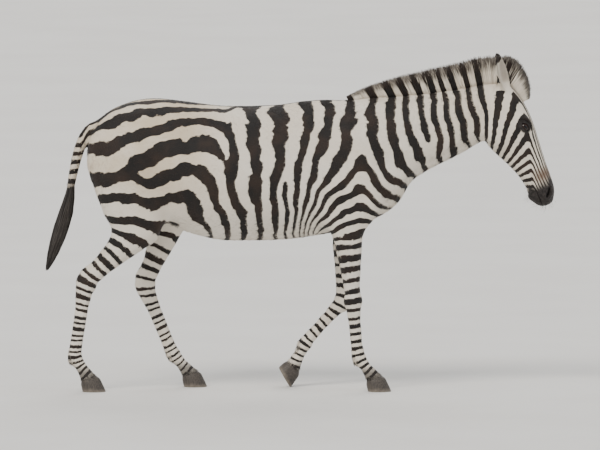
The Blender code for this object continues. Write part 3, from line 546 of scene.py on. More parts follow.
def model_body(skin):
    """Shoulder blade, arm and breast, the ribs, flank and hip, the thigh, and the tendons of the legs."""
    tree = tree_of(skin)
    for name, side in SIDES.items():
        points, normals = points_of(skin), normals_of(skin)
        for places, width, depth in [*BODY_LINES, *RIBS, *thigh_lines(name)]:
            x, z = np.array(smooth_path(places, 6)).T
            stroke(points, normals, struck(tree, side, x, z), width, depth)
        for kind, offset, start, end, width, depth in LIMB_GROOVES:
            x, z = beside_limb(kind, name, offset, np.linspace(start, end, 12))
            stroke(points, normals, struck(tree, side, x, z, 0.4), width, depth)
            if kind == "fore" or start > 0.3:
                stroke(points, normals, struck(tree, side, x, z, 0.012, 1), width, depth)
        for place, reach, push in BODY_SPOTS:
            for spot in struck(tree, side, place[:1], place[1:]):
                knead(points, spot, reach, (0, side * push, 0))
        move_points(skin, points)


def sculpted_skin():
    """The flesh in one skin: eased, set in by the depth of its coat, thinned, and then sculpted."""
    skin = joined_flesh()
    points = points_of(skin)
    points = relax(points, edges_of(skin), 0.5 * softness(points), 90)
    move_points(skin, points)
    move_points(skin, points_of(skin) - normals_of(skin) * coat_depth(points)[:, None])
    thin_out(skin, THINNED)
    round_off(skin, 30)
    nostrils = [(on_head(0.478, -0.02, side * 0.045), 0.05) for side in SIDES.values()]
    refine(skin, [(EYES[name], 0.052) for name in SIDES] + nostrils)
    refine(skin, [(EYES[name], 0.036) for name in SIDES])
    points = points_of(skin)
    for name in SIDES:
        eyelids(points, name)
    move_points(skin, points)
    carve_face(skin)
    model_body(skin)
    smooth(skin)
    return skin


# ---------------- the run of the stripes

SHOULDER = 0.495  # the upright axis that the stripes spread from, over the foreleg
AXIS_PITCH = 0.086  # from stripe to stripe at that axis
# Place and stripe pitch there, for each run of stripes.
NECK_PITCH = ((-0.2, 0.086), (0.0, 0.084), (0.3, 0.066), (0.55, 0.052), (0.8, 0.05))
BARREL_PITCH = ((-0.2, 0.086), (0.0, 0.086), (0.35, 0.098), (0.6, 0.1), (0.85, 0.088), (1.4, 0.085))
FORELEG_PITCH = (
    (-0.3, 0.09), (0.0, 0.082), (0.28, 0.06), (0.6, 0.044), (0.7, 0.036), (0.87, 0.029), (0.98, 0.025),
    (1.2, 0.024),
)
HAUNCH_PITCH = (
    (-0.2, 0.024), (0.08, 0.024), (0.2, 0.028), (0.34, 0.034), (0.46, 0.044), (0.6, 0.06), (0.72, 0.082),
    (0.8, 0.1), (0.95, 0.125), (1.5, 0.13),
)
CROUP_TOP = 13.52  # the count that the croup's top stays under, so that it is pale beside the dark spine
TAIL_PITCH = 0.04
# Where a stripe forks: x, z and the way it turns, each with a partner outside the body.
FORKS = {
    "right": (
        (0.16, 0.93, 1), (0.16, 0.4, -1), (-0.1, 1.04, -1), (-0.1, 1.7, 1),
        (-0.47, 0.97, 1), (-1.3, 0.97, -1), (0.79, 1.09, 1), (0.74, 0.6, -1),
    ),
    "left": (
        (0.04, 0.88, 1), (0.04, 0.4, -1), (0.27, 1.06, -1), (0.27, 1.7, 1),
        (-0.4, 1.09, 1), (-1.3, 1.09, -1), (0.88, 1.13, 1), (0.82, 0.6, -1),
    ),
}


def count_stripes(table, value):
    """How many stripes lie between 0 and a place, where the pitch follows the table."""
    places, pitches = np.array(table).T
    fine = np.linspace(places[0], places[-1], 400)
    step = fine[1] - fine[0]
    run = np.append(0.0, np.cumsum(step / np.interp(fine[:-1] + step / 2, places, pitches)))
    return np.interp(value, fine, run) - np.interp(0.0, fine, run)


JAW = 1.04  # where the neck's stripes end
JAW_COUNT = 8.58  # the count there
FLANK = -0.3012  # where the upright stripes turn into the level ones
FLANK_HEIGHT = 0.78
AXIS_COUNT = JAW_COUNT + count_stripes(NECK_PITCH, JAW - SHOULDER)
FLANK_COUNT = AXIS_COUNT - count_stripes(BARREL_PITCH, SHOULDER - FLANK)
HAUNCH_COUNT = FLANK_COUNT - count_stripes(HAUNCH_PITCH, FLANK_HEIGHT)


def down_limb(x, z, kind, side):
    """How far down a limb each point is, and how far from the limb's middle line."""
    line, _ = limb_line(kind, side)
    start, gaps, downs = 0.0, [], []
    last = len(line) - 2
    for i, (a, b) in enumerate(zip(line[:-1], line[1:])):
        step = b - a
        length = math.hypot(*step)
        share = ((x - a[0]) * step[0] + (z - a[1]) * step[1]) / length ** 2
        share = np.clip(share, -9 if i == 0 else 0, 9 if i == last else 1)
        gaps.append(np.hypot(x - a[0] - share * step[0], z - a[1] - share * step[1]))
        downs.append(start + share * length)
        start += length
    gaps, downs = np.array(gaps), np.array(downs)
    nearest = gaps.min(0)
    worth = np.exp(-(gaps - nearest) / 0.012)
    return (worth * downs).sum(0) / worth.sum(0), nearest


def body_run(x, y, z, side):
    """The count of stripes over neck, barrel, haunch and legs on one side."""
    fore, fore_gap = down_limb(x, z, "fore", side)
    hind, _ = down_limb(x, z, "hind", side)

    # Upright stripes, counted both ways from the shoulder's axis.
    behind = SHOULDER - x
    lean = 0.3 * ease(x, SHOULDER, 1.02) * (z - 1.15) + 0.45 * ease(x, 0.5, 0.74) * np.minimum(z - 1.02, 0)
    neck = count_stripes(NECK_PITCH, lean - behind)
    barrel = count_stripes(BARREL_PITCH, behind - 0.36 * ease(behind, 0.2, 0.72) * (z - 0.95))
    from_axis = blend(barrel, neck, ease(-behind, -0.04, 0.04))
    least = 0.55 / AXIS_PITCH * np.minimum(np.hypot(behind, 0.02), 0.08)
    from_axis = softer(from_axis, least, 0.06)

    # Under the shoulder the count runs on down the foreleg.
    on_leg = fade(z, 0.64, 0.84) * fade(fore_gap, 0.1, 0.22)
    over_leg = fade(fore_gap, 0.1, 0.23) * on_leg
    over_axis = fade(np.abs(behind), 0.06, 0.4) * ease(z, 0.6, 0.7)
    below = count_stripes(FORELEG_PITCH, softer(fore, 0.0, 0.03)) * np.maximum(over_leg, over_axis)
    shoulder = AXIS_COUNT - from_axis * (1 - 0.92 * on_leg) + below

    # Level stripes over the haunch, which run on down the hind leg.
    hip = z + 0.25 * (-0.49 - x) * ease(z, 0.72, 0.95)
    hip = hip + 1.05 * np.clip(0.19 - np.abs(y), 0, 0.19) * ease(z, 1.06, 1.2)
    height = blend(LIMBS["hind", side][0][1] - hind, hip, ease(z, 0.58, 0.8))
    haunch = HAUNCH_COUNT + count_stripes(HAUNCH_PITCH, height)

    # Rearwards the greater count holds, so that the two sets of stripes join on the flank.
    hold = (14 * fade(z, 0.56, 0.76) + 16 * fade(z, 0.2, 0.56)) * ease(-x, 0.14, 0.26)
    rear = softer(shoulder - hold, haunch - 14 * ease(x, -0.1, 0.25), 0.3)
    return np.where(x > 0.25, shoulder, rear)


def head_run(points):
    """Stripes that fan out over the cheek and turn to run down the face."""
    along, above, out = head_places(points)
    x, _, z = body_places(points)
    cheek = (np.degrees(np.arctan2(z - 0.86, x - 1.04)) - 18) / 9.3
    level = np.interp(along, (0.0, 0.2, 0.35, 0.53), (-0.03, -0.045, -0.03, -0.032))
    face = 8.0 * (1 - np.degrees(np.arctan2(np.abs(out), above - level)) / 102)
    return softer(cheek, face, 0.22)


def mark(points, normals):
    """For each point: the count of stripes, the turn of the forks, and how the coat is coloured there."""
    x, y, z = body_places(points)
    left = ease(y, -0.004, 0.004)
    run = blend(body_run(x, y, z, "right"), body_run(x, y, z, "left"), left)
    turn = np.zeros(len(x))
    for side, share in (("right", 1 - left), ("left", left)):
        for fx, fz, way in FORKS[side]:
            turn += share * way * np.arctan2(z - fz, x - fx)
    run = np.where((z > 1.0) & (x < 0.0), np.minimum(run, CROUP_TOP - turn / (2 * math.pi)), run)

    # Head and tail have stripes of their own.
    along, above, out = head_places(points)
    head = ease(x - 1.037 - 0.016 * (z - 1.04) / 0.38, -0.035, 0.035) * ease(z, 0.7, 0.78)
    run = blend(run, head_run(points), head)
    turn *= 1 - head
    tail = ease(-x, 0.69, 0.735) * (np.abs(y) < 0.055) * ease(z, 0.4, 0.5)
    run = blend(run, 13.0 + (z - 1.1) / TAIL_PITCH, tail)

    # Pale under the belly and inside the limbs, dark at the muzzle, the feet and the end of the dock.
    under = ease(-normals[:, 2], 0.25, 0.85) * ease(z, 0.58, 0.66) * (1 - head) * (1 - tail)
    inner = ease(-normals[:, 1] * np.sign(y), 0.0, 0.6) * fade(z, 0.62, 0.74)
    limb = fade(z, 0.55, 0.85)
    pale = -0.06 + 0.62 * under * (1 - 0.5 * ease(np.abs(y), 0.08, 0.2)) + 0.3 * inner + 0.06 * head
    pale += 0.1 * fade(z, 0.3, 0.55)
    foot = fade(z, 0.08, 0.125)
    dark = ease(along + 0.01 * np.sin(out * 160), 0.408, 0.452) * head
    dark = np.maximum.reduce([dark, 0.75 * foot, tail * fade(z, 0.86, 0.94)])
    brown = bell(along - 0.405, 0.03) * head * ease(above, -0.06, 0.0)

    # A dark ring round each eye, and ears that are banded behind and pale inside.
    for name, side in SIDES.items():
        gap = points - EYES[name]
        out_way, lid, up = eye_axes(side)
        near = np.hypot(gap @ lid / 1.22, gap @ up / np.where(gap @ up > 0, 1.24, 0.98))
        dark = np.maximum(dark, fade(near, 0.0195, 0.029) * (np.abs(gap @ out_way) < 0.035))
        share_up, across, deep, opening = ear_places(points, side)
        ear = ease(share_up, 0.02, 0.16) * fade(np.abs(across), 0.046, 0.062)
        ear = ear * fade(np.abs(deep), 0.04, 0.062) * ease(np.abs(y), 0.012, 0.022)
        inside = ease(normals @ opening, -0.1, 0.35) * ear
        run = blend(run, np.minimum(7 + (share_up - 0.42) / 0.46, 8.0), ear)
        pale = blend(blend(pale, 0.1, ear), 1.4, ease(ear, 0.0, 0.25) * fade(ear, 0.75, 1.0))
        pale = blend(pale, 1.25, inside * fade(share_up, 0.7, 0.8))
        brown = np.maximum(brown, 0.18 * inside * ease(share_up, 0.1, 0.3) * fade(share_up, 0.7, 0.9))

    # Where the dark line of spine and belly runs, and how warm the pale hair is.
    midline = ease(normals[:, 2], 0.3, 0.6) * fade(x, 0.36, 0.44) * ease(z, 0.9, 1.0)
    midline = np.maximum(midline, under * ease(x, -0.32, -0.1) * fade(x, 0.36, 0.52)) * (np.abs(y) < 0.1)
    rump = ease(-x, 0.05, 0.4) * ease(z, 0.75, 1.0)
    back = ease(z, 0.95, 1.25) * (1 - head)
    warm = np.maximum(0.22 + 0.65 * rump + 0.22 * back + 0.15 * head - 0.12 * under, 0)
    return {
        "stripe": vectors(run, np.cos(turn), np.sin(turn)),
        "marks": vectors(pale, dark, brown),
        "lie": vectors(limb, head, warm),
        "root": points,
        "fine": vectors(np.maximum(limb, head), midline, 0),
    }


# ---------------- finishes

class Value:
    """A number in a finish's node tree, on which sums are written as usual."""

    def __init__(self, finish, socket):
        self.finish = finish
        self.socket = socket

    def __add__(self, other):
        return self.finish.sum("ADD", self, other)

    def __sub__(self, other):
        return self.finish.sum("SUBTRACT", self, other)

    def __rsub__(self, other):
        return self.finish.sum("SUBTRACT", other, self)

    def __mul__(self, other):
        return self.finish.sum("MULTIPLY", self, other)


class Finish:
    """A material, and short ways to add and join its nodes."""

    def __init__(self, name, **sockets):
        self.material = bpy.data.materials.new(name)
        self.material.use_nodes = True
        self.tree = self.material.node_tree
        self.shader = self.tree.nodes["Principled BSDF"]
        for socket, value in sockets.items():
            self.shader.inputs[socket.replace("_", " ")].default_value = value

    def feed(self, socket, value):
        if isinstance(value, Value):
            self.tree.links.new(value.socket, socket)
        elif value is not None:
            socket.default_value = value

    def node(self, kind, *inputs, output=0, **settings):
        """Adds a node, with None for each input that is left as it is."""
        made = self.tree.nodes.new("ShaderNode" + kind)
        for key, value in settings.items():
            setattr(made, key, value)
        for socket, value in zip(made.inputs, inputs):
            self.feed(socket, value)
        return Value(self, made.outputs[output])

    def sum(self, operation, *inputs):
        return self.node("Math", *inputs, operation=operation)

    def hypot(self, a, b):
        return self.sum("SQRT", a * a + b * b)

    def attribute(self, name):
        return self.node("Attribute", output="Vector", attribute_name=name)

    def parts(self, vector):
        separate = self.node("SeparateXYZ", vector).socket.node
        return [Value(self, socket) for socket in separate.outputs]

    def moved(self, vector, turn=(0.0, 0.0, 0.0), scale=(1.0, 1.0, 1.0)):
        return self.node("Mapping", vector, (0.0, 0.0, 0.0), turn, scale)

    def grain(self, vector, scale, detail=2.0, roughness=0.5):
        """Noise of one scale, or of a scale for each way."""
        if isinstance(scale, tuple):
            vector, scale = self.moved(vector, scale=scale), 1.0
        return self.node("TexNoise", vector, None, scale, detail, roughness)

    def between(self, value, low, high):
        return self.node("MapRange", value, low, high, 0.0, 1.0, interpolation_type="SMOOTHSTEP")

    def mix(self, share, a, b):
        """One colour turning into another."""
        return self.node("Mix", share, *[None] * 5, a, b, output=2, data_type="RGBA")

    def painted(self, colour, height=None, strength=0.0):
        """The material with its colour, and with a relief where a height is given."""
        self.feed(self.shader.inputs["Base Color"], colour)
        if height is not None:
            self.feed(self.shader.inputs["Normal"], self.node("Bump", strength, 0.0016, None, height))
        return self.material


CREAM = (0.7, 0.595, 0.45, 1)
BUFF = (0.52, 0.39, 0.255, 1)
WHITE = (0.8, 0.745, 0.655, 1)
BLACK = (0.0085, 0.0066, 0.0058, 1)
BROWN_BLACK = (0.026, 0.015, 0.01, 1)
MUZZLE = (0.03, 0.024, 0.022, 1)
TAN = (0.12, 0.07, 0.045, 1)


def coat_finish(name, hair_bump=None):
    """Short striped hair: the stripes follow the count kept in the coat, with wavering, hairy edges."""
    f = Finish(name, Roughness=0.68, Sheen_Weight=0.05, Sheen_Roughness=0.5, Specular_IOR_Level=0.3)
    root = f.attribute("root")
    count, turn_c, turn_s = f.parts(f.attribute("stripe"))
    share, dark, brown = f.parts(f.attribute("marks"))
    limb, head, warm = f.parts(f.attribute("lie"))
    fine, midline, _ = f.parts(f.attribute("fine"))

    # The stripes' edges waver, less on face and limbs.
    near = f.grain(root, 26.0) - 0.5
    waver = (f.grain(root, 6.5, 1.0) - 0.5) * ((1 - fine) * 0.75 + 0.35)
    waver = waver + near * ((1 - fine) * 0.2 + 0.12) + (f.grain(root, 60.0) - 0.5) * (fine * 0.22 + 0.06)
    angle = (count + waver) * (2 * math.pi)
    wave = f.sum("COSINE", angle) * turn_c - f.sum("SINE", angle) * turn_s

    # Strands run along the body, down the limbs and down the face.
    body_hair = f.grain(root, (60.0, 420.0, 420.0), 2.0, 0.6)
    limb_hair = f.grain(root, (480.0, 480.0, 70.0), 2.0, 0.6)
    face_hair = f.grain(f.moved(root, (0.0, HEAD_PITCH, 0.0)), (110.0, 620.0, 620.0), 2.0, 0.6)
    strands = blend(blend(body_hair, limb_hair, limb), face_hair, head)

    # Dark stripes, and the dark line along spine and belly.
    uneven = share + (f.grain(root, 11.0) - 0.5) * 0.55
    black = f.between(wave + (strands - 0.5) * 0.42 - uneven, -0.09, 0.09)
    off_middle = f.sum("ABSOLUTE", near * 0.012 + f.parts(root)[1]) + (strands - 0.5) * 0.01
    black = f.sum("MAXIMUM", black, f.between(off_middle, 0.0135, 0.0085) * f.between(midline, 0.15, 0.45))

    # White to cream with buff patches between the stripes, and black with a brown cast on them.
    patches = f.between(f.grain(root, 3.2, 3.0), 0.35, 0.68)
    tint = warm * (patches * 0.6 + 0.55)
    pale = f.mix(tint, WHITE, CREAM)
    pale = f.mix(tint * patches * 0.42, pale, BUFF)
    pale = f.mix(f.between(strands, 0.48, 0.3) * 0.22, pale, BUFF)
    ink = f.mix(f.between(f.grain(root, 9.0, 3.0), 0.38, 0.72), BLACK, BROWN_BLACK)
    ink = f.mix(f.between(strands, 0.52, 0.8), ink, BROWN_BLACK)

    # Over these the brown and dark places, and the dark tips of the mane.
    colour = f.mix(brown * 0.85, f.mix(black, pale, ink), TAN)
    colour = f.mix(dark, colour, f.mix(f.between(f.grain(root, 90.0, 3.0), 0.35, 0.7), MUZZLE, BLACK))
    colour = f.mix(f.parts(f.attribute("hair"))[0], colour, BROWN_BLACK)
    if hair_bump is None:
        return f.painted(colour)
    return f.painted(colour, f.grain(root, 240.0) * 0.25 + strands, hair_bump)


def eye_finish():
    """A dark brown iris with fine rays and a level, oblong pupil, under a wet surface."""
    f = Finish("wet_eye", Roughness=0.05, IOR=1.36)
    gaze = f.attribute("gaze")
    t, u, _ = f.parts(gaze)
    rays = f.grain(gaze, (32.0, 32.0, 6.0), 3.0)
    brown = f.mix(f.between(rays, 0.35, 0.7), (0.009, 0.004, 0.0024, 1), (0.03, 0.0125, 0.0062, 1))
    colour = f.mix(f.between(f.hypot(t * 2.1, u * 4.0), 0.82, 1.08), (0.002, 0.002, 0.003, 1), brown)
    return f.painted(f.mix(f.between(f.hypot(t, u), 0.7, 0.84), colour, (0.005, 0.0035, 0.003, 1)))


def horn_finish():
    """Dull horn: growth rings round the wall, fine streaks down it, and a dusty, paler rim at the ground."""
    f = Finish("hoof_horn", Roughness=0.55, Specular_IOR_Level=0.4)
    place = f.attribute("horn")
    streaks = f.grain(place, (420.0, 420.0, 26.0))
    rings = f.grain(place, (14.0, 14.0, 330.0))
    colour = f.mix(f.between(streaks, 0.35, 0.68), (0.036, 0.03, 0.026, 1), (0.085, 0.07, 0.058, 1))
    colour = f.mix(f.between(rings, 0.48, 0.75) * 0.28, colour, (0.12, 0.098, 0.078, 1))
    dust = f.between(f.grain(place, 45.0, 3.0) * 0.02 + f.parts(place)[2], 0.03, 0.008) * 0.75
    return f.painted(f.mix(dust, colour, (0.23, 0.195, 0.155, 1)), streaks * 0.3 + rings, 0.6)


def floor_finish():
    f = Finish("pale_floor", Roughness=0.85)
    tone = f.between(f.grain(f.node("TexCoord", output="Object"), 1.4, 4.0), 0.3, 0.7)
    return f.painted(f.mix(tone, (0.7, 0.68, 0.65, 1), (0.73, 0.715, 0.685, 1)))


def dress(obj, finish, slot, *replaced):
    """Gives a piece its finish and its body, and hides the CAD nodes that it stands for. The slot is not
    used.
    """
    wear(obj, finish)
    if replaced:
        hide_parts(*replaced)
    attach(obj, "root")


coat = coat_finish("striped_coat", 0.55)
hair_coat = coat_finish("striped_hair")

skin = sculpted_skin()
SKIN_POINTS = points_of(skin)
SKIN_NORMALS = normals_of(skin)
skin_marks = mark(SKIN_POINTS, SKIN_NORMALS)
skin_tree = tree_of(skin)
keep_marks(skin, skin_marks)
dress(skin, coat, "coat", *FLESH)


def foot_on_skin(places):
    """The nearest points of the skin and the way that it faces there."""
    found = [skin_tree.find_nearest(Vector(p)) for p in places]
    return np.array([f[0] for f in found]), np.array([f[1] for f in found])


# ---------------- hair in locks

PATCH = 0.003  # width of each lock's place on the unwrapped skin


def hair_piece(name, corners, faces, layout, patch, marks):
    """Many like bits of hair as one mesh, from the corners of each and the faces of one.

    Each is laid out round its own place on the unwrapped skin, and carries the marks of its root.
    """
    count, size = corners.shape[:2]
    loops, sides = [], []
    for wide in (4, 3):
        some = np.array([face for face in faces if len(face) == wide], int).reshape(-1, wide)
        loops.append((some + size * np.arange(count)[:, None, None]).ravel())
        sides.append(np.full(count * len(some), wide))
    loops, sides = np.concatenate(loops), np.concatenate(sides)
    mesh = bpy.data.meshes.new(name)
    mesh.vertices.add(count * size)
    mesh.vertices.foreach_set("co", corners.astype(np.float32).ravel())
    mesh.loops.add(len(loops))
    mesh.loops.foreach_set("vertex_index", loops.astype(np.int32))
    mesh.polygons.add(len(sides))
    mesh.polygons.foreach_set("loop_start", (np.cumsum(sides) - sides).astype(np.int32))
    mesh.polygons.foreach_set("loop_total", sides.astype(np.int32))
    mesh.polygons.foreach_set("use_smooth", np.ones(len(sides), bool))
    mesh.update(calc_edges=True)
    mesh.validate()
    spots = patch[:, None] + PATCH * (np.array(layout) - 0.5)
    layer = mesh.uv_layers.new(name="OFBake")
    layer.data.foreach_set("uv", spots.reshape(-1, 2)[loops].astype(np.float32).ravel())
    obj = bpy.data.objects.new(name, mesh)
    bpy.context.collection.objects.link(obj)
    keep_marks(obj, {key: np.repeat(values, size, axis=0) for key, values in marks.items()})
    return obj


def lock_mesh(name, paths, flat, half, thick, profile, marks, patch):
    """Tapered locks, each a four-sided blade along its own path, closed at root and tip.

    paths is (locks, points, 3), flat each lock's broad way, and half its half width there.
    """
    points = paths.shape[1]
    run = unit(np.gradient(paths, axis=1))
    wide = unit(flat[:, None] - (flat[:, None] * run).sum(2, keepdims=True) * run)
    size = half[:, None, None] * np.asarray(profile)[:, None]
    w, d = size * wide[:, :-1], thick * size * np.cross(run, wide)[:, :-1]
    core = paths[:, :-1]
    rings = np.stack([core + w, core + d, core - w, core - d], 2).reshape(len(paths), -1, 3)
    turns = [(i, (i + 1) % 4) for i in range(4)]
    last = 4 * (points - 2)
    faces = [(k + i, k + j, k + 4 + j, k + 4 + i) for k in range(0, last, 4) for i, j in turns]
    faces += [(3, 2, 1, 0)] + [(last + i, last + j, last + 4) for i, j in turns]
    layout = [(i / 3, k / (points - 1)) for k in range(points - 1) for i in range(4)] + [(0.5, 1.0)]
    return hair_piece(name, np.append(rings, paths[:, -1:], 1), faces, layout, patch, marks)


def along_line(values, share):
    """Values from a table of equal steps at shares from 0 to 1, on a soft curve."""
    line = np.array(smooth_path(values, 12))
    at = np.linspace(0, 1, len(line))
    return np.stack([np.interp(share, at, column) for column in line.T])


# Foot of the mane (x, z), how high its hair stands, and its lean from the upright.
MANE_LINE = (
    (0.44, 1.262, 0.014, -34.0), (0.545, 1.27, 0.052, -30.0), (0.67, 1.278, 0.084, -26.0),
    (0.8, 1.292, 0.104, -22.0), (0.92, 1.312, 0.113, -18.0), (1.023, 1.334, 0.117, -10.0),
    (1.085, 1.346, 0.117, 6.0), (1.132, 1.346, 0.106, 26.0), (1.172, 1.303, 0.074, 45.0),
    (1.204, 1.262, 0.03, 60.0),
)


def standing_mane(count):
    """A brush of stiff upright locks from the withers to the forelock, striped like the neck under it."""
    share = (np.arange(count) + RNG.random(count)) / count
    x, z, height, lean = along_line(MANE_LINE, share)
    across = RNG.uniform(-1, 1, count)
    lean = np.radians(lean + RNG.normal(0, 3.0, count))
    feet, _ = foot_on_skin(vectors(x - BODY_SHIFT, across * 0.0135, z))
    way = unit(vectors(np.sin(lean), across * 0.055 + RNG.normal(0, 0.035, count), np.cos(lean)))
    length = height * (1 - 0.16 * across ** 2) * RNG.uniform(0.9, 1.02, count) + 0.006
    steps = np.array((-0.06, 0.22, 0.5, 0.76, 1.0))[:, None]
    bend = RNG.normal(0, 0.035, (count, 3)) * (1.0, 0.7, 0.3)
    paths = feet[:, None] + (way[:, None] * steps + bend[:, None] * steps ** 2) * length[:, None, None]
    turn = RNG.uniform(0, math.pi, count)
    half = RNG.uniform(0.0019, 0.0033, count) * np.clip(height / 0.08, 0.6, 1)
    marks = mark(feet, vectors(0, np.sign(across) * 0.7, 0.7))
    marks["marks"] = marks["marks"] * (1, 0, 1) + (0.05, 0, 0)
    dark_tip = RNG.uniform(0.66, 0.84, count)[:, None]
    flat = vectors(np.cos(turn), np.sin(turn), 0)
    patch = np.stack([0.02 + 0.96 * share, 0.5 + 0.45 * across], 1)
    mane = lock_mesh("mane_hair", paths, flat, half, 0.6, (0.85, 1.0, 1.0, 0.8), marks, patch)
    along = np.append(np.repeat((0.0, 0.25, 0.5, 0.75), 4), 1.0)
    tip = 0.92 * ease(along, dark_tip - 0.16, dark_tip + 0.1)
    keep_marks(mane, {"hair": vectors(tip.ravel(), 0, 0)})
    return mane


# Middle line of the dock and tuft (x, z) with the reach of the hair round it.
DOCK_LINE = ((-0.76, 0.96, 0.014), (-0.768, 0.92, 0.018), (-0.776, 0.875, 0.016), (-0.784, 0.83, 0.012))
TUFT_LINE = (
    (-0.764, 0.94, 0.014), (-0.778, 0.86, 0.027), (-0.8, 0.76, 0.036), (-0.83, 0.66, 0.034),
    (-0.858, 0.575, 0.022), (-0.878, 0.52, 0.006),
)


def tail_hair(count):
    """Long coarse hair that hangs from the end of the dock."""
    begin = RNG.uniform(0, 1, count) ** 0.8
    turn = RNG.uniform(0, 2 * math.pi, count)
    dock = along_line(DOCK_LINE, begin)
    first = (0.945 - dock[1]) / 0.43
    last = np.clip(RNG.normal(0.9, 0.09, count), 0.55, 1.0)
    twist = RNG.normal(0, 0.35, count)
    depth = np.sqrt(RNG.uniform(0.05, 1, count))
    paths = []
    for step in np.linspace(0, 1, 8):
        x, z, girth = along_line(TUFT_LINE, first + (last - first) * step)
        reach = girth * depth * ease(step + 0.05, -0.3, 0.5) + RNG.normal(0, 0.0012, count) * step
        if step == 0:
            x, z, girth = dock
            reach = 0.55 * girth
        c, s = reach * np.cos(turn + twist * step), reach * np.sin(turn + twist * step)
        paths.append(vectors(x - BODY_SHIFT + c, 0.95 * s, z + 0.25 * c))
    paths = np.stack(paths, 1)
    half = RNG.uniform(0.0016, 0.0034, count)
    flat = vectors(-np.sin(turn), np.cos(turn), 0)
    marks = mark(paths[:, 0], flat)
    marks["marks"] = marks["marks"] * (0, 0, 1) + (0, 0.97, 0)
    patch = np.stack([0.03 + 0.94 * turn / (2 * math.pi), 0.05 + 0.9 * begin], 1)
    taper = (0.8, 1.0, 1.0, 0.95, 0.85, 0.7, 0.45)
    return lock_mesh("tail_hair", paths, flat, half, 0.5, taper, marks, patch)


# ---------------- eyes and hooves

def eyeball(name):
    """A ball with a clear bulge in front, that keeps the way of its gaze for its finish."""
    out, along, up = eye_axes(SIDES[name])
    bpy.ops.mesh.primitive_uv_sphere_add(segments=48, ring_count=32, radius=EYE_RADIUS, location=(0, 0, 0))
    ball = bpy.context.active_object
    ball.name = "eye_ball_" + name
    points = points_of(ball)
    t, u, h = points @ along, points @ up, points @ out
    points += np.outer(0.0009 * bell(np.hypot(t, u), 0.0105) * (h > 0), out)
    move_points(ball, points + EYES[name])
    keep_marks(ball, {"gaze": vectors(t, u, h) / EYE_RADIUS})
    smooth(ball)
    return ball


HOOF_TILT = {"fore_hoof_left": math.radians(60)}  # this one stands on the tip of its toe


def horn_capsule(node):
    """The hoof with its edges worn round, reaching up into the hair of the coronet."""
    part = copy_of(node)
    part.name = node.replace("hoof", "horn")
    part.data.name = part.name
    only(part)
    merge_doubles()
    finish_with(part, "REMESH", mode="VOXEL", voxel_size=0.0022)
    before = points_of(part)
    points = relax(before.copy(), edges_of(part), 0.5, 8)
    tilt = HOOF_TILT.get(node, 0.0)
    up = np.array((math.sin(tilt), 0.0, math.cos(tilt)))
    toe = np.array((math.cos(tilt), 0.0, -math.sin(tilt)))
    bottom = (points @ up).min()

    # The top of the horn closes in on the skin of the pastern and ends just under it.
    facing = normals_of(part)
    upper = facing @ up > 0.5
    level = points @ unit(facing[upper].mean(0))
    rise = ease(level - level[upper].mean(), -0.017, -0.001)
    pastern, outwards = foot_on_skin(points)
    outside = ((points - pastern) * outwards).sum(1) > 0
    points += (pastern - outwards * 0.001 - points) * (0.94 * rise * outside)[:, None]
    points = relax(points, edges_of(part), 0.5 * ease(rise, 0.02, 0.3), 6)

    # The sole stays flat on the ground.
    points[:, 2] = np.maximum(points[:, 2], 0.0)
    if tilt == 0.0:
        points[:, 2] = np.where(before[:, 2] < 0.0012, 0.0, points[:, 2])
    move_points(part, points)
    gap = points - middle(node)
    keep_marks(part, {"horn": vectors(gap @ toe, gap[:, 1], points @ up - bottom)})
    smooth(part)
    return part


dress(standing_mane(6000), hair_coat, "mane_hair", "mane")
dress(tail_hair(900), hair_coat, "tail_hair", "tail_tuft")
wet_eye = eye_finish()
for name in SIDES:
    dress(eyeball(name), wet_eye, "eye", "eye_" + name)
horn = horn_finish()
capsules = [horn_capsule(node) for node in HOOVES]
for node, capsule in zip(HOOVES, capsules):
    dress(capsule, horn, "horn", node)

# ---------------- short coat

skin.data.calc_loop_triangles()
SKIN_CORNERS = rows(skin.data.loop_triangles, "vertices", 3, np.int32)


def spread(worth, count):
    """Roots over the skin, more of them where it is worth more: their places, normals and marks."""
    a, b, c = (SKIN_POINTS[SKIN_CORNERS[:, k]] for k in range(3))
    weight = np.linalg.norm(np.cross(b - a, c - a), axis=1) * worth[SKIN_CORNERS].mean(1)
    at = SKIN_CORNERS[RNG.choice(len(weight), count, p=weight / weight.sum())]
    r, q = np.sqrt(RNG.random(count)), RNG.random(count)
    shares = vectors(1 - r, r * (1 - q), r * q)[:, :, None]
    marks = {name: (values[at] * shares).sum(1) for name, values in skin_marks.items()}
    return marks["root"], unit((SKIN_NORMALS[at] * shares).sum(1)), marks


def on_limb(x, y, kind, side):
    return ((x > 0) == (kind == "fore")) & ((y < 0) == (side == "right"))


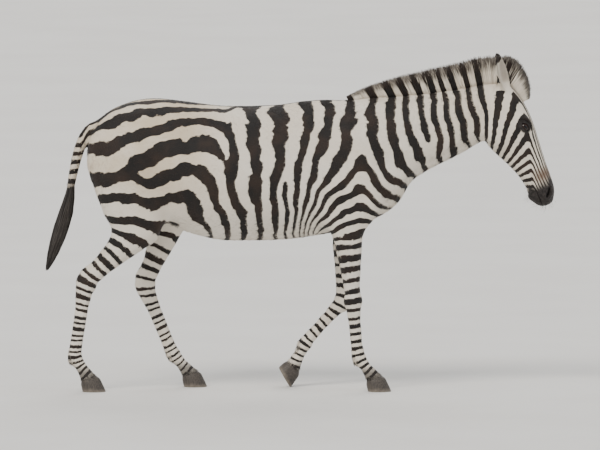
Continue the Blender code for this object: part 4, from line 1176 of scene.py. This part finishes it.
def lie_of(points, normals):
    """The way that the hair lies: back over the body, down the limbs, breast and buttocks, down the face."""
    x, y, z = body_places(points)
    head = ease(x, 0.99, 1.06) * ease(z, 0.7, 0.78)
    breast = ease(x, 0.54, 0.66) * fade(z, 1.0, 1.14)
    down = np.maximum.reduce([fade(z, 0.55, 0.75), breast, ease(-x, 0.58, 0.68)])
    body = vectors(-(1 - down) - 0.12, 0, -0.22 - down)
    for kind, side in LIMBS:
        mine = (z < 0.6) & on_limb(x, y, kind, side)
        line, _ = limb_line(kind, side)
        step = unit(np.gradient(line, axis=0))
        for column, axis in ((0, 0), (1, 2)):
            body[mine, axis] = np.interp(-z[mine], -line[:, 1], step[:, column])
    cheek = fade(head_places(points)[1], -0.075, -0.01)[:, None]
    way = blend(body, TO_LIPS * (0.9 - 0.7 * cheek) - TO_BROW * (0.9 * cheek), head[:, None])
    for side in SIDES.values():
        share_up, across, deep, _ = ear_places(points, side)
        ear = ease(share_up, 0.05, 0.2) * (np.abs(across) < 0.055) * (np.abs(deep) < 0.06)
        way = blend(way, ear_up(side), ear[:, None])
    way += RNG.normal(0, 0.1, way.shape)
    way -= (way * normals).sum(1, keepdims=True) * normals
    return way / np.maximum(np.linalg.norm(way, axis=1, keepdims=True), 1e-6)


LEG_TOP = 0.64
HEAD_BACK = 1.03
# Height of the middle of trunk and neck along the body.
TRUNK_MIDDLE = ((-0.7, 1.02), (-0.3, 0.95), (0.4, 0.95), (0.75, 1.12), (1.05, 1.2))


def unwrapped(points):
    """A flat place for each root: round its own part of the body across, and along that part up."""
    x, y, z = body_places(points)
    along, above, out = head_places(points)
    limb = z < LEG_TOP
    head = (x > HEAD_BACK) & ~limb
    turn = np.arctan2(y, z - np.interp(x, *np.array(TRUNK_MIDDLE).T)) / math.pi
    flat = np.stack([0.02 + 0.6 * (x + 1.0) / 2.05, 0.52 + 0.46 * turn], 1)
    turn = np.arctan2(out, above + 0.035) / math.pi
    flat[head] = np.stack([0.82 + 0.16 * turn, 0.6 + 0.38 * (along + 0.25) / 0.8], 1)[head]
    for column, (kind, side) in enumerate(LIMBS):
        mine = limb & on_limb(x, y, kind, side)
        if not mine.any():
            continue
        x0, z0 = np.array(LIMBS[kind, side]).T
        turn = np.arctan2(y - np.median(y[mine]), x - np.interp(-z, -z0, x0)) / math.pi
        down = np.clip(down_limb(x, z, kind, side)[0] / 1.1, 0, 1)
        flat[mine] = np.stack([0.695 + 0.08 * column + 0.035 * turn, 0.02 + 0.54 * down], 1)[mine]
    return np.clip(flat, 0.004, 0.996)


def tuft_length(points):
    """Short on the face and the feet, and a little longer under the belly."""
    x, y, z = body_places(points)
    under = fade(np.abs(y), 0.02, 0.1) * ease(z, 0.5, 0.7)
    body = 0.0052 + 0.0028 * ease(z, 0.35, 0.75) + 0.003 * under
    return blend(body, 0.0038, ease(x, 1.0, 1.06) * ease(z, 0.7, 0.78))


TUFT_FACES = ((0, 3, 1), (0, 2, 3), (1, 3, 4), (3, 2, 4), (0, 1, 2), (1, 4, 2))
TUFT_LAYOUT = ((0.5, 0.0), (0.0, 0.4), (1.0, 0.4), (0.5, 0.5), (0.5, 1.0))
SINK = 0.0009  # how far the root of a tuft is set in
CLEAR = 0.0002  # how far its tip stays clear of the skin


def short_coat(name, worth, count, width, lift):
    """Small spindle tufts of six faces that lie on the skin, rooted under it, with their tips just clear."""
    places, facing, marks = spread(worth, count)
    way = lie_of(places, facing)
    across = np.cross(facing, way)
    length = tuft_length(places) * RNG.uniform(0.75, 1.2, count)
    half = (width * RNG.uniform(0.75, 1.2, count))[:, None]
    rise = (lift * RNG.uniform(0.5, 1.4, count) * length)[:, None]
    length = length[:, None]
    belly = places + way * 0.42 * length + facing * (0.25 * rise - 0.4 * SINK)
    ridge = belly + facing * (0.42 * half + CLEAR)
    tip = places + way * length + facing * (0.85 * rise + CLEAR)
    tip += across * RNG.normal(0, 0.12, (count, 1)) * length
    corners = [places - facing * 1.2 * SINK, belly + across * half, belly - across * half, ridge, tip]
    tufts = hair_piece(name, np.stack(corners, 1), TUFT_FACES, TUFT_LAYOUT, unwrapped(places), marks)
    dress(tufts, hair_coat, "coat")


# The skin's points, and the part of the body that each is on.
x, y, z = body_places(SKIN_POINTS)
along, above, _ = head_places(SKIN_POINTS)
leg = z < LEG_TOP
head = (x > HEAD_BACK) & ~leg
neck = (x > 0.55) & ~leg & ~head
barrel = ~(leg | head | neck)
front = x > -0.25 + BODY_SHIFT  # the barrel's coat is made in two pieces
clear = 1 - 0.97 * ease(along, 0.425, 0.47) * (x > 0.8 + BODY_SHIFT)  # of the muzzle and the eyes
for name in SIDES:
    clear *= ease(np.linalg.norm(SKIN_POINTS - EYES[name], axis=1), 0.02, 0.034)

# Piece, where its tufts grow, how many, half their width and how far they stand out.
for piece in (
    ("coat_barrel_front", barrel * front, 31500, 0.0009, 0.11),
    ("coat_barrel_rear", barrel * ~front, 31500, 0.0009, 0.11),
    ("coat_neck", neck, 27000, 0.00085, 0.12),
    ("coat_legs", leg, 32000, 0.00065, 0.12),
    ("coat_head", head * clear, 32000, 0.00046, 0.11),
):
    short_coat(*piece)

# ---------------- longer hair where the coat turns an edge

def fringe(name, places, facing, way, marks, length, half, lift, curl, points):
    """Locks that stand clear of the coat: lift is how steeply they leave it, curl how far they bend back."""
    count = len(places)
    steps = np.linspace(0, 1, points)
    steps[0] = -0.08
    bent = np.maximum(steps, 0) ** 2
    across = np.cross(facing, way)
    paths = places[:, None] + length[:, None, None] * (
        way[:, None] * steps[:, None]
        + facing[:, None] * (np.outer(lift, steps) - np.outer(curl, bent))[..., None]
        + across[:, None] * np.outer(RNG.normal(0, 0.1, count), bent)[..., None]
    )
    profile = np.linspace(1.0, 0.75, points - 1)
    locks = lock_mesh(name, paths, across, half, 0.55, profile, marks, unwrapped(places))
    dress(locks, hair_coat, "coat")


def grow(name, worth, count, lengths, halves, lifts, curl, points=3, size=None, dark=False):
    """A fringe where the skin is worth it, its length, half width and lift drawn between two ends each."""
    places, facing, marks = spread(worth, count)
    length = RNG.uniform(*lengths, count)
    half = RNG.uniform(*halves, count) if isinstance(halves, tuple) else np.full(count, halves)
    lift = RNG.uniform(*lifts, count)
    if size:
        longer, wider = size(places)
        length, half = length * longer, half * wider
    if dark:
        marks["marks"][:, 1] = 1.0
    fringe(name, places, facing, lie_of(places, facing), marks, length, half, lift, curl * lift, points)


def edge_size(places):
    """How much of its length and width the hair keeps: all on the body, less on limbs and head."""
    small = np.maximum(fade(places[:, 2], 0.4, 0.7), ease(places[:, 0], 0.8, 0.86))
    return 1 - 0.5 * small, 1 - 0.4118 * small


down, fore = -SKIN_NORMALS[:, 2], SKIN_NORMALS[:, 0]
# Where hair shows against the light: jaw, throat, belly, breast, buttocks, and backs and fronts of the limbs.
edges = clear * np.maximum.reduce([
    1.5 * head * ease(-(SKIN_NORMALS @ TO_BROW), 0.35, 0.75) * ease(along, 0.02, 0.1),
    ease(down, 0.3, 0.7) * ease(x, 0.5, 0.62) * ~head * ease(z, 0.62, 0.68),
    0.7 * ease(down, 0.45, 0.85) * barrel,
    ease(fore, 0.45, 0.8) * ease(x, 0.52, 0.62) * ease(z, 0.66, 0.72) * ~head,
    0.6 * ease(-fore, 0.55, 0.85) * ease(-x, 0.4, 0.55) * ease(z, 0.62, 0.7),
    1.4 * leg * ease(-fore, 0.45, 0.8) * ease(z, 0.1, 0.14),
    0.35 * leg * ease(fore, 0.55, 0.85) * ease(z, 0.1, 0.14),
])

CORONET = 0.012  # how near the horn the hair of the coronet grows
coronet = np.zeros(len(x))
for capsule in capsules:
    tree = tree_of(capsule)
    for i in np.flatnonzero(z < 0.17):
        gap = tree.find_nearest(Vector(SKIN_POINTS[i]), CORONET)[3]
        if gap is not None:
            coronet[i] = max(coronet[i], 1.0 - 0.6 * gap / CORONET)

fetlock = np.zeros(len(x))
for (kind, side), line in LIMBS.items():
    joint_x, joint_z = line[-3]
    gap = np.hypot(x - joint_x + 0.03, z - joint_z + 0.012)
    fetlock += bell(gap, 0.02) * on_limb(x, y, kind, side) * (z < 0.3) * ease(-fore, 0.0, 0.6)

rim, cup, cheek = np.zeros((3, len(x)))
for name, side in SIDES.items():
    share_up, across, deep, opening = ear_places(SKIN_POINTS, side)
    ear = ease(share_up, 0.06, 0.2) * (np.abs(across) < 0.055) * (np.abs(deep) < 0.06)
    turn = SKIN_NORMALS @ opening
    rim += ear * bell(turn - 0.1, 0.35)
    cup += ear * ease(turn, 0.2, 0.6) * fade(share_up, 0.75, 0.95) * ease(np.abs(across), 0.004, 0.016)
    below_eye = EYES[name] - 0.036 * eye_axes(side)[2]
    cheek += 0.25 * bell(np.linalg.norm(SKIN_POINTS - below_eye, axis=1), 0.008)
lips = head * ease(along, 0.42, 0.48) * ease(-above, -0.01, 0.04)
chin = head * bell(along - 0.46, 0.03) * ease(-above, 0.06, 0.09)


def lashes(count):
    """Stiff dark lashes from the edge of each upper lid, and a few finer ones below."""
    roots, ways, outs = [], [], []
    for name, side in SIDES.items():
        out, lid, up = eye_axes(side)
        for k in range(count):
            upper = k < 0.75 * count
            share = RNG.uniform(-0.86, 0.9)
            edge = math.sqrt(1 - share ** 2) * (LID_TOP if upper else -LID_BOTTOM)
            reach = math.hypot(share * LID_LENGTH, edge)
            height = math.sqrt(max((EYE_RADIUS + 0.0022) ** 2 - reach ** 2, 0.0001))
            roots.append(EYES[name] + share * LID_LENGTH * lid + edge * 1.04 * up + height * out)
            rise = 0.55 if upper else -0.45
            ways.append(unit(out * 0.75 + up * rise + lid * (0.5 * share + RNG.normal(0, 0.08))))
            outs.append(up if upper else -up)
    roots, ways, outs = np.array(roots), np.array(ways), np.array(outs)
    outs = unit(outs - (outs * ways).sum(1, keepdims=True) * ways)
    marks = mark(roots, outs)
    marks["marks"][:, 1] = 1.0
    total = len(roots)
    length = RNG.uniform(0.0075, 0.0135, total)
    half, lift, curl = (np.full(total, value) for value in (0.00028, -0.35, -0.55))
    fringe("lashes", roots, outs, ways, marks, length, half, lift, curl, 5)


grow("fringe_edges", edges, 7000, (0.0105, 0.01875), (0.00068, 0.00102), (0.12, 0.42), 0.35, size=edge_size)
grow("fringe_coronet", coronet, 2400, (0.01, 0.019), (0.00045, 0.00075), (0.3, 0.62), 0.3)
grow("fringe_fetlock", fetlock, 700, (0.01, 0.02), (0.0004, 0.0007), (0.12, 0.32), 0.2)
grow("fringe_ear_rims", rim, 2200, (0.0035, 0.0068), (0.0003, 0.0005), (0.15, 0.6), 0.3)
grow("fringe_ears_inside", cup, 2200, (0.008, 0.017), (0.00028, 0.00048), (0.2, 0.6), 0.6, 4)
lashes(60)
whisker_worth = np.maximum.reduce([lips, 1.6 * chin, cheek])
grow("whiskers", whisker_worth, 110, (0.0108, 0.0288), 0.00026, (0.9, 2.0), 0.25, 6, dark=True)

# ---------------- floor, light and camera

def sun(name, azimuth, height, strength, softness, colour):
    """A broad light from an azimuth round the model, 0 from the viewer's side and 90 from its head."""
    light = bpy.data.lights.new(name, "SUN")
    light.energy = strength
    light.angle = math.radians(softness)
    light.color = colour
    lamp = bpy.data.objects.new(name, light)
    bpy.context.collection.objects.link(lamp)
    a, e = math.radians(azimuth), math.radians(height)
    way = Vector((math.sin(a) * math.cos(e), -math.cos(a) * math.cos(e), math.sin(e)))
    lamp.location = way * 8
    lamp.rotation_euler = way.to_track_quat("Z", "Y").to_euler()


bpy.ops.mesh.primitive_circle_add(vertices=96, radius=60.0, fill_type="NGON", location=(0, 0, 0))
ground = bpy.context.active_object
ground.name = "studio_floor"
wear(ground, floor_finish())

world = bpy.data.worlds.new("studio")
bpy.context.scene.world = world
world.use_nodes = True
sky = world.node_tree.nodes["Background"]
sky.inputs["Color"].default_value = (0.84, 0.86, 0.88, 1)
sky.inputs["Strength"].default_value = 0.85

sun("key", -32, 48, 2.3, 24, (1.0, 0.965, 0.91))
sun("fill", 62, 30, 0.45, 60, (0.94, 0.97, 1.0))
sun("back", 170, 42, 0.9, 40, (1.0, 0.98, 0.95))

LOOK_AT = Vector((0.0, 0.0, 0.72))
ELEVATION = math.radians(5.0)
DISTANCE = 49.0
FRAME_WIDTH = 2.62  # what the picture takes in across, at the model
view = bpy.data.cameras.new("view")
view.sensor_width = 36.0
view.lens = view.sensor_width * DISTANCE / FRAME_WIDTH
view.clip_start = 1.0
view.clip_end = 500.0
camera = bpy.data.objects.new("view", view)
bpy.context.collection.objects.link(camera)
bpy.context.scene.camera = camera
camera.location = LOOK_AT + DISTANCE * Vector((0.0, -math.cos(ELEVATION), math.sin(ELEVATION)))
camera.rotation_euler = (math.pi / 2 - ELEVATION, 0.0, 0.0)
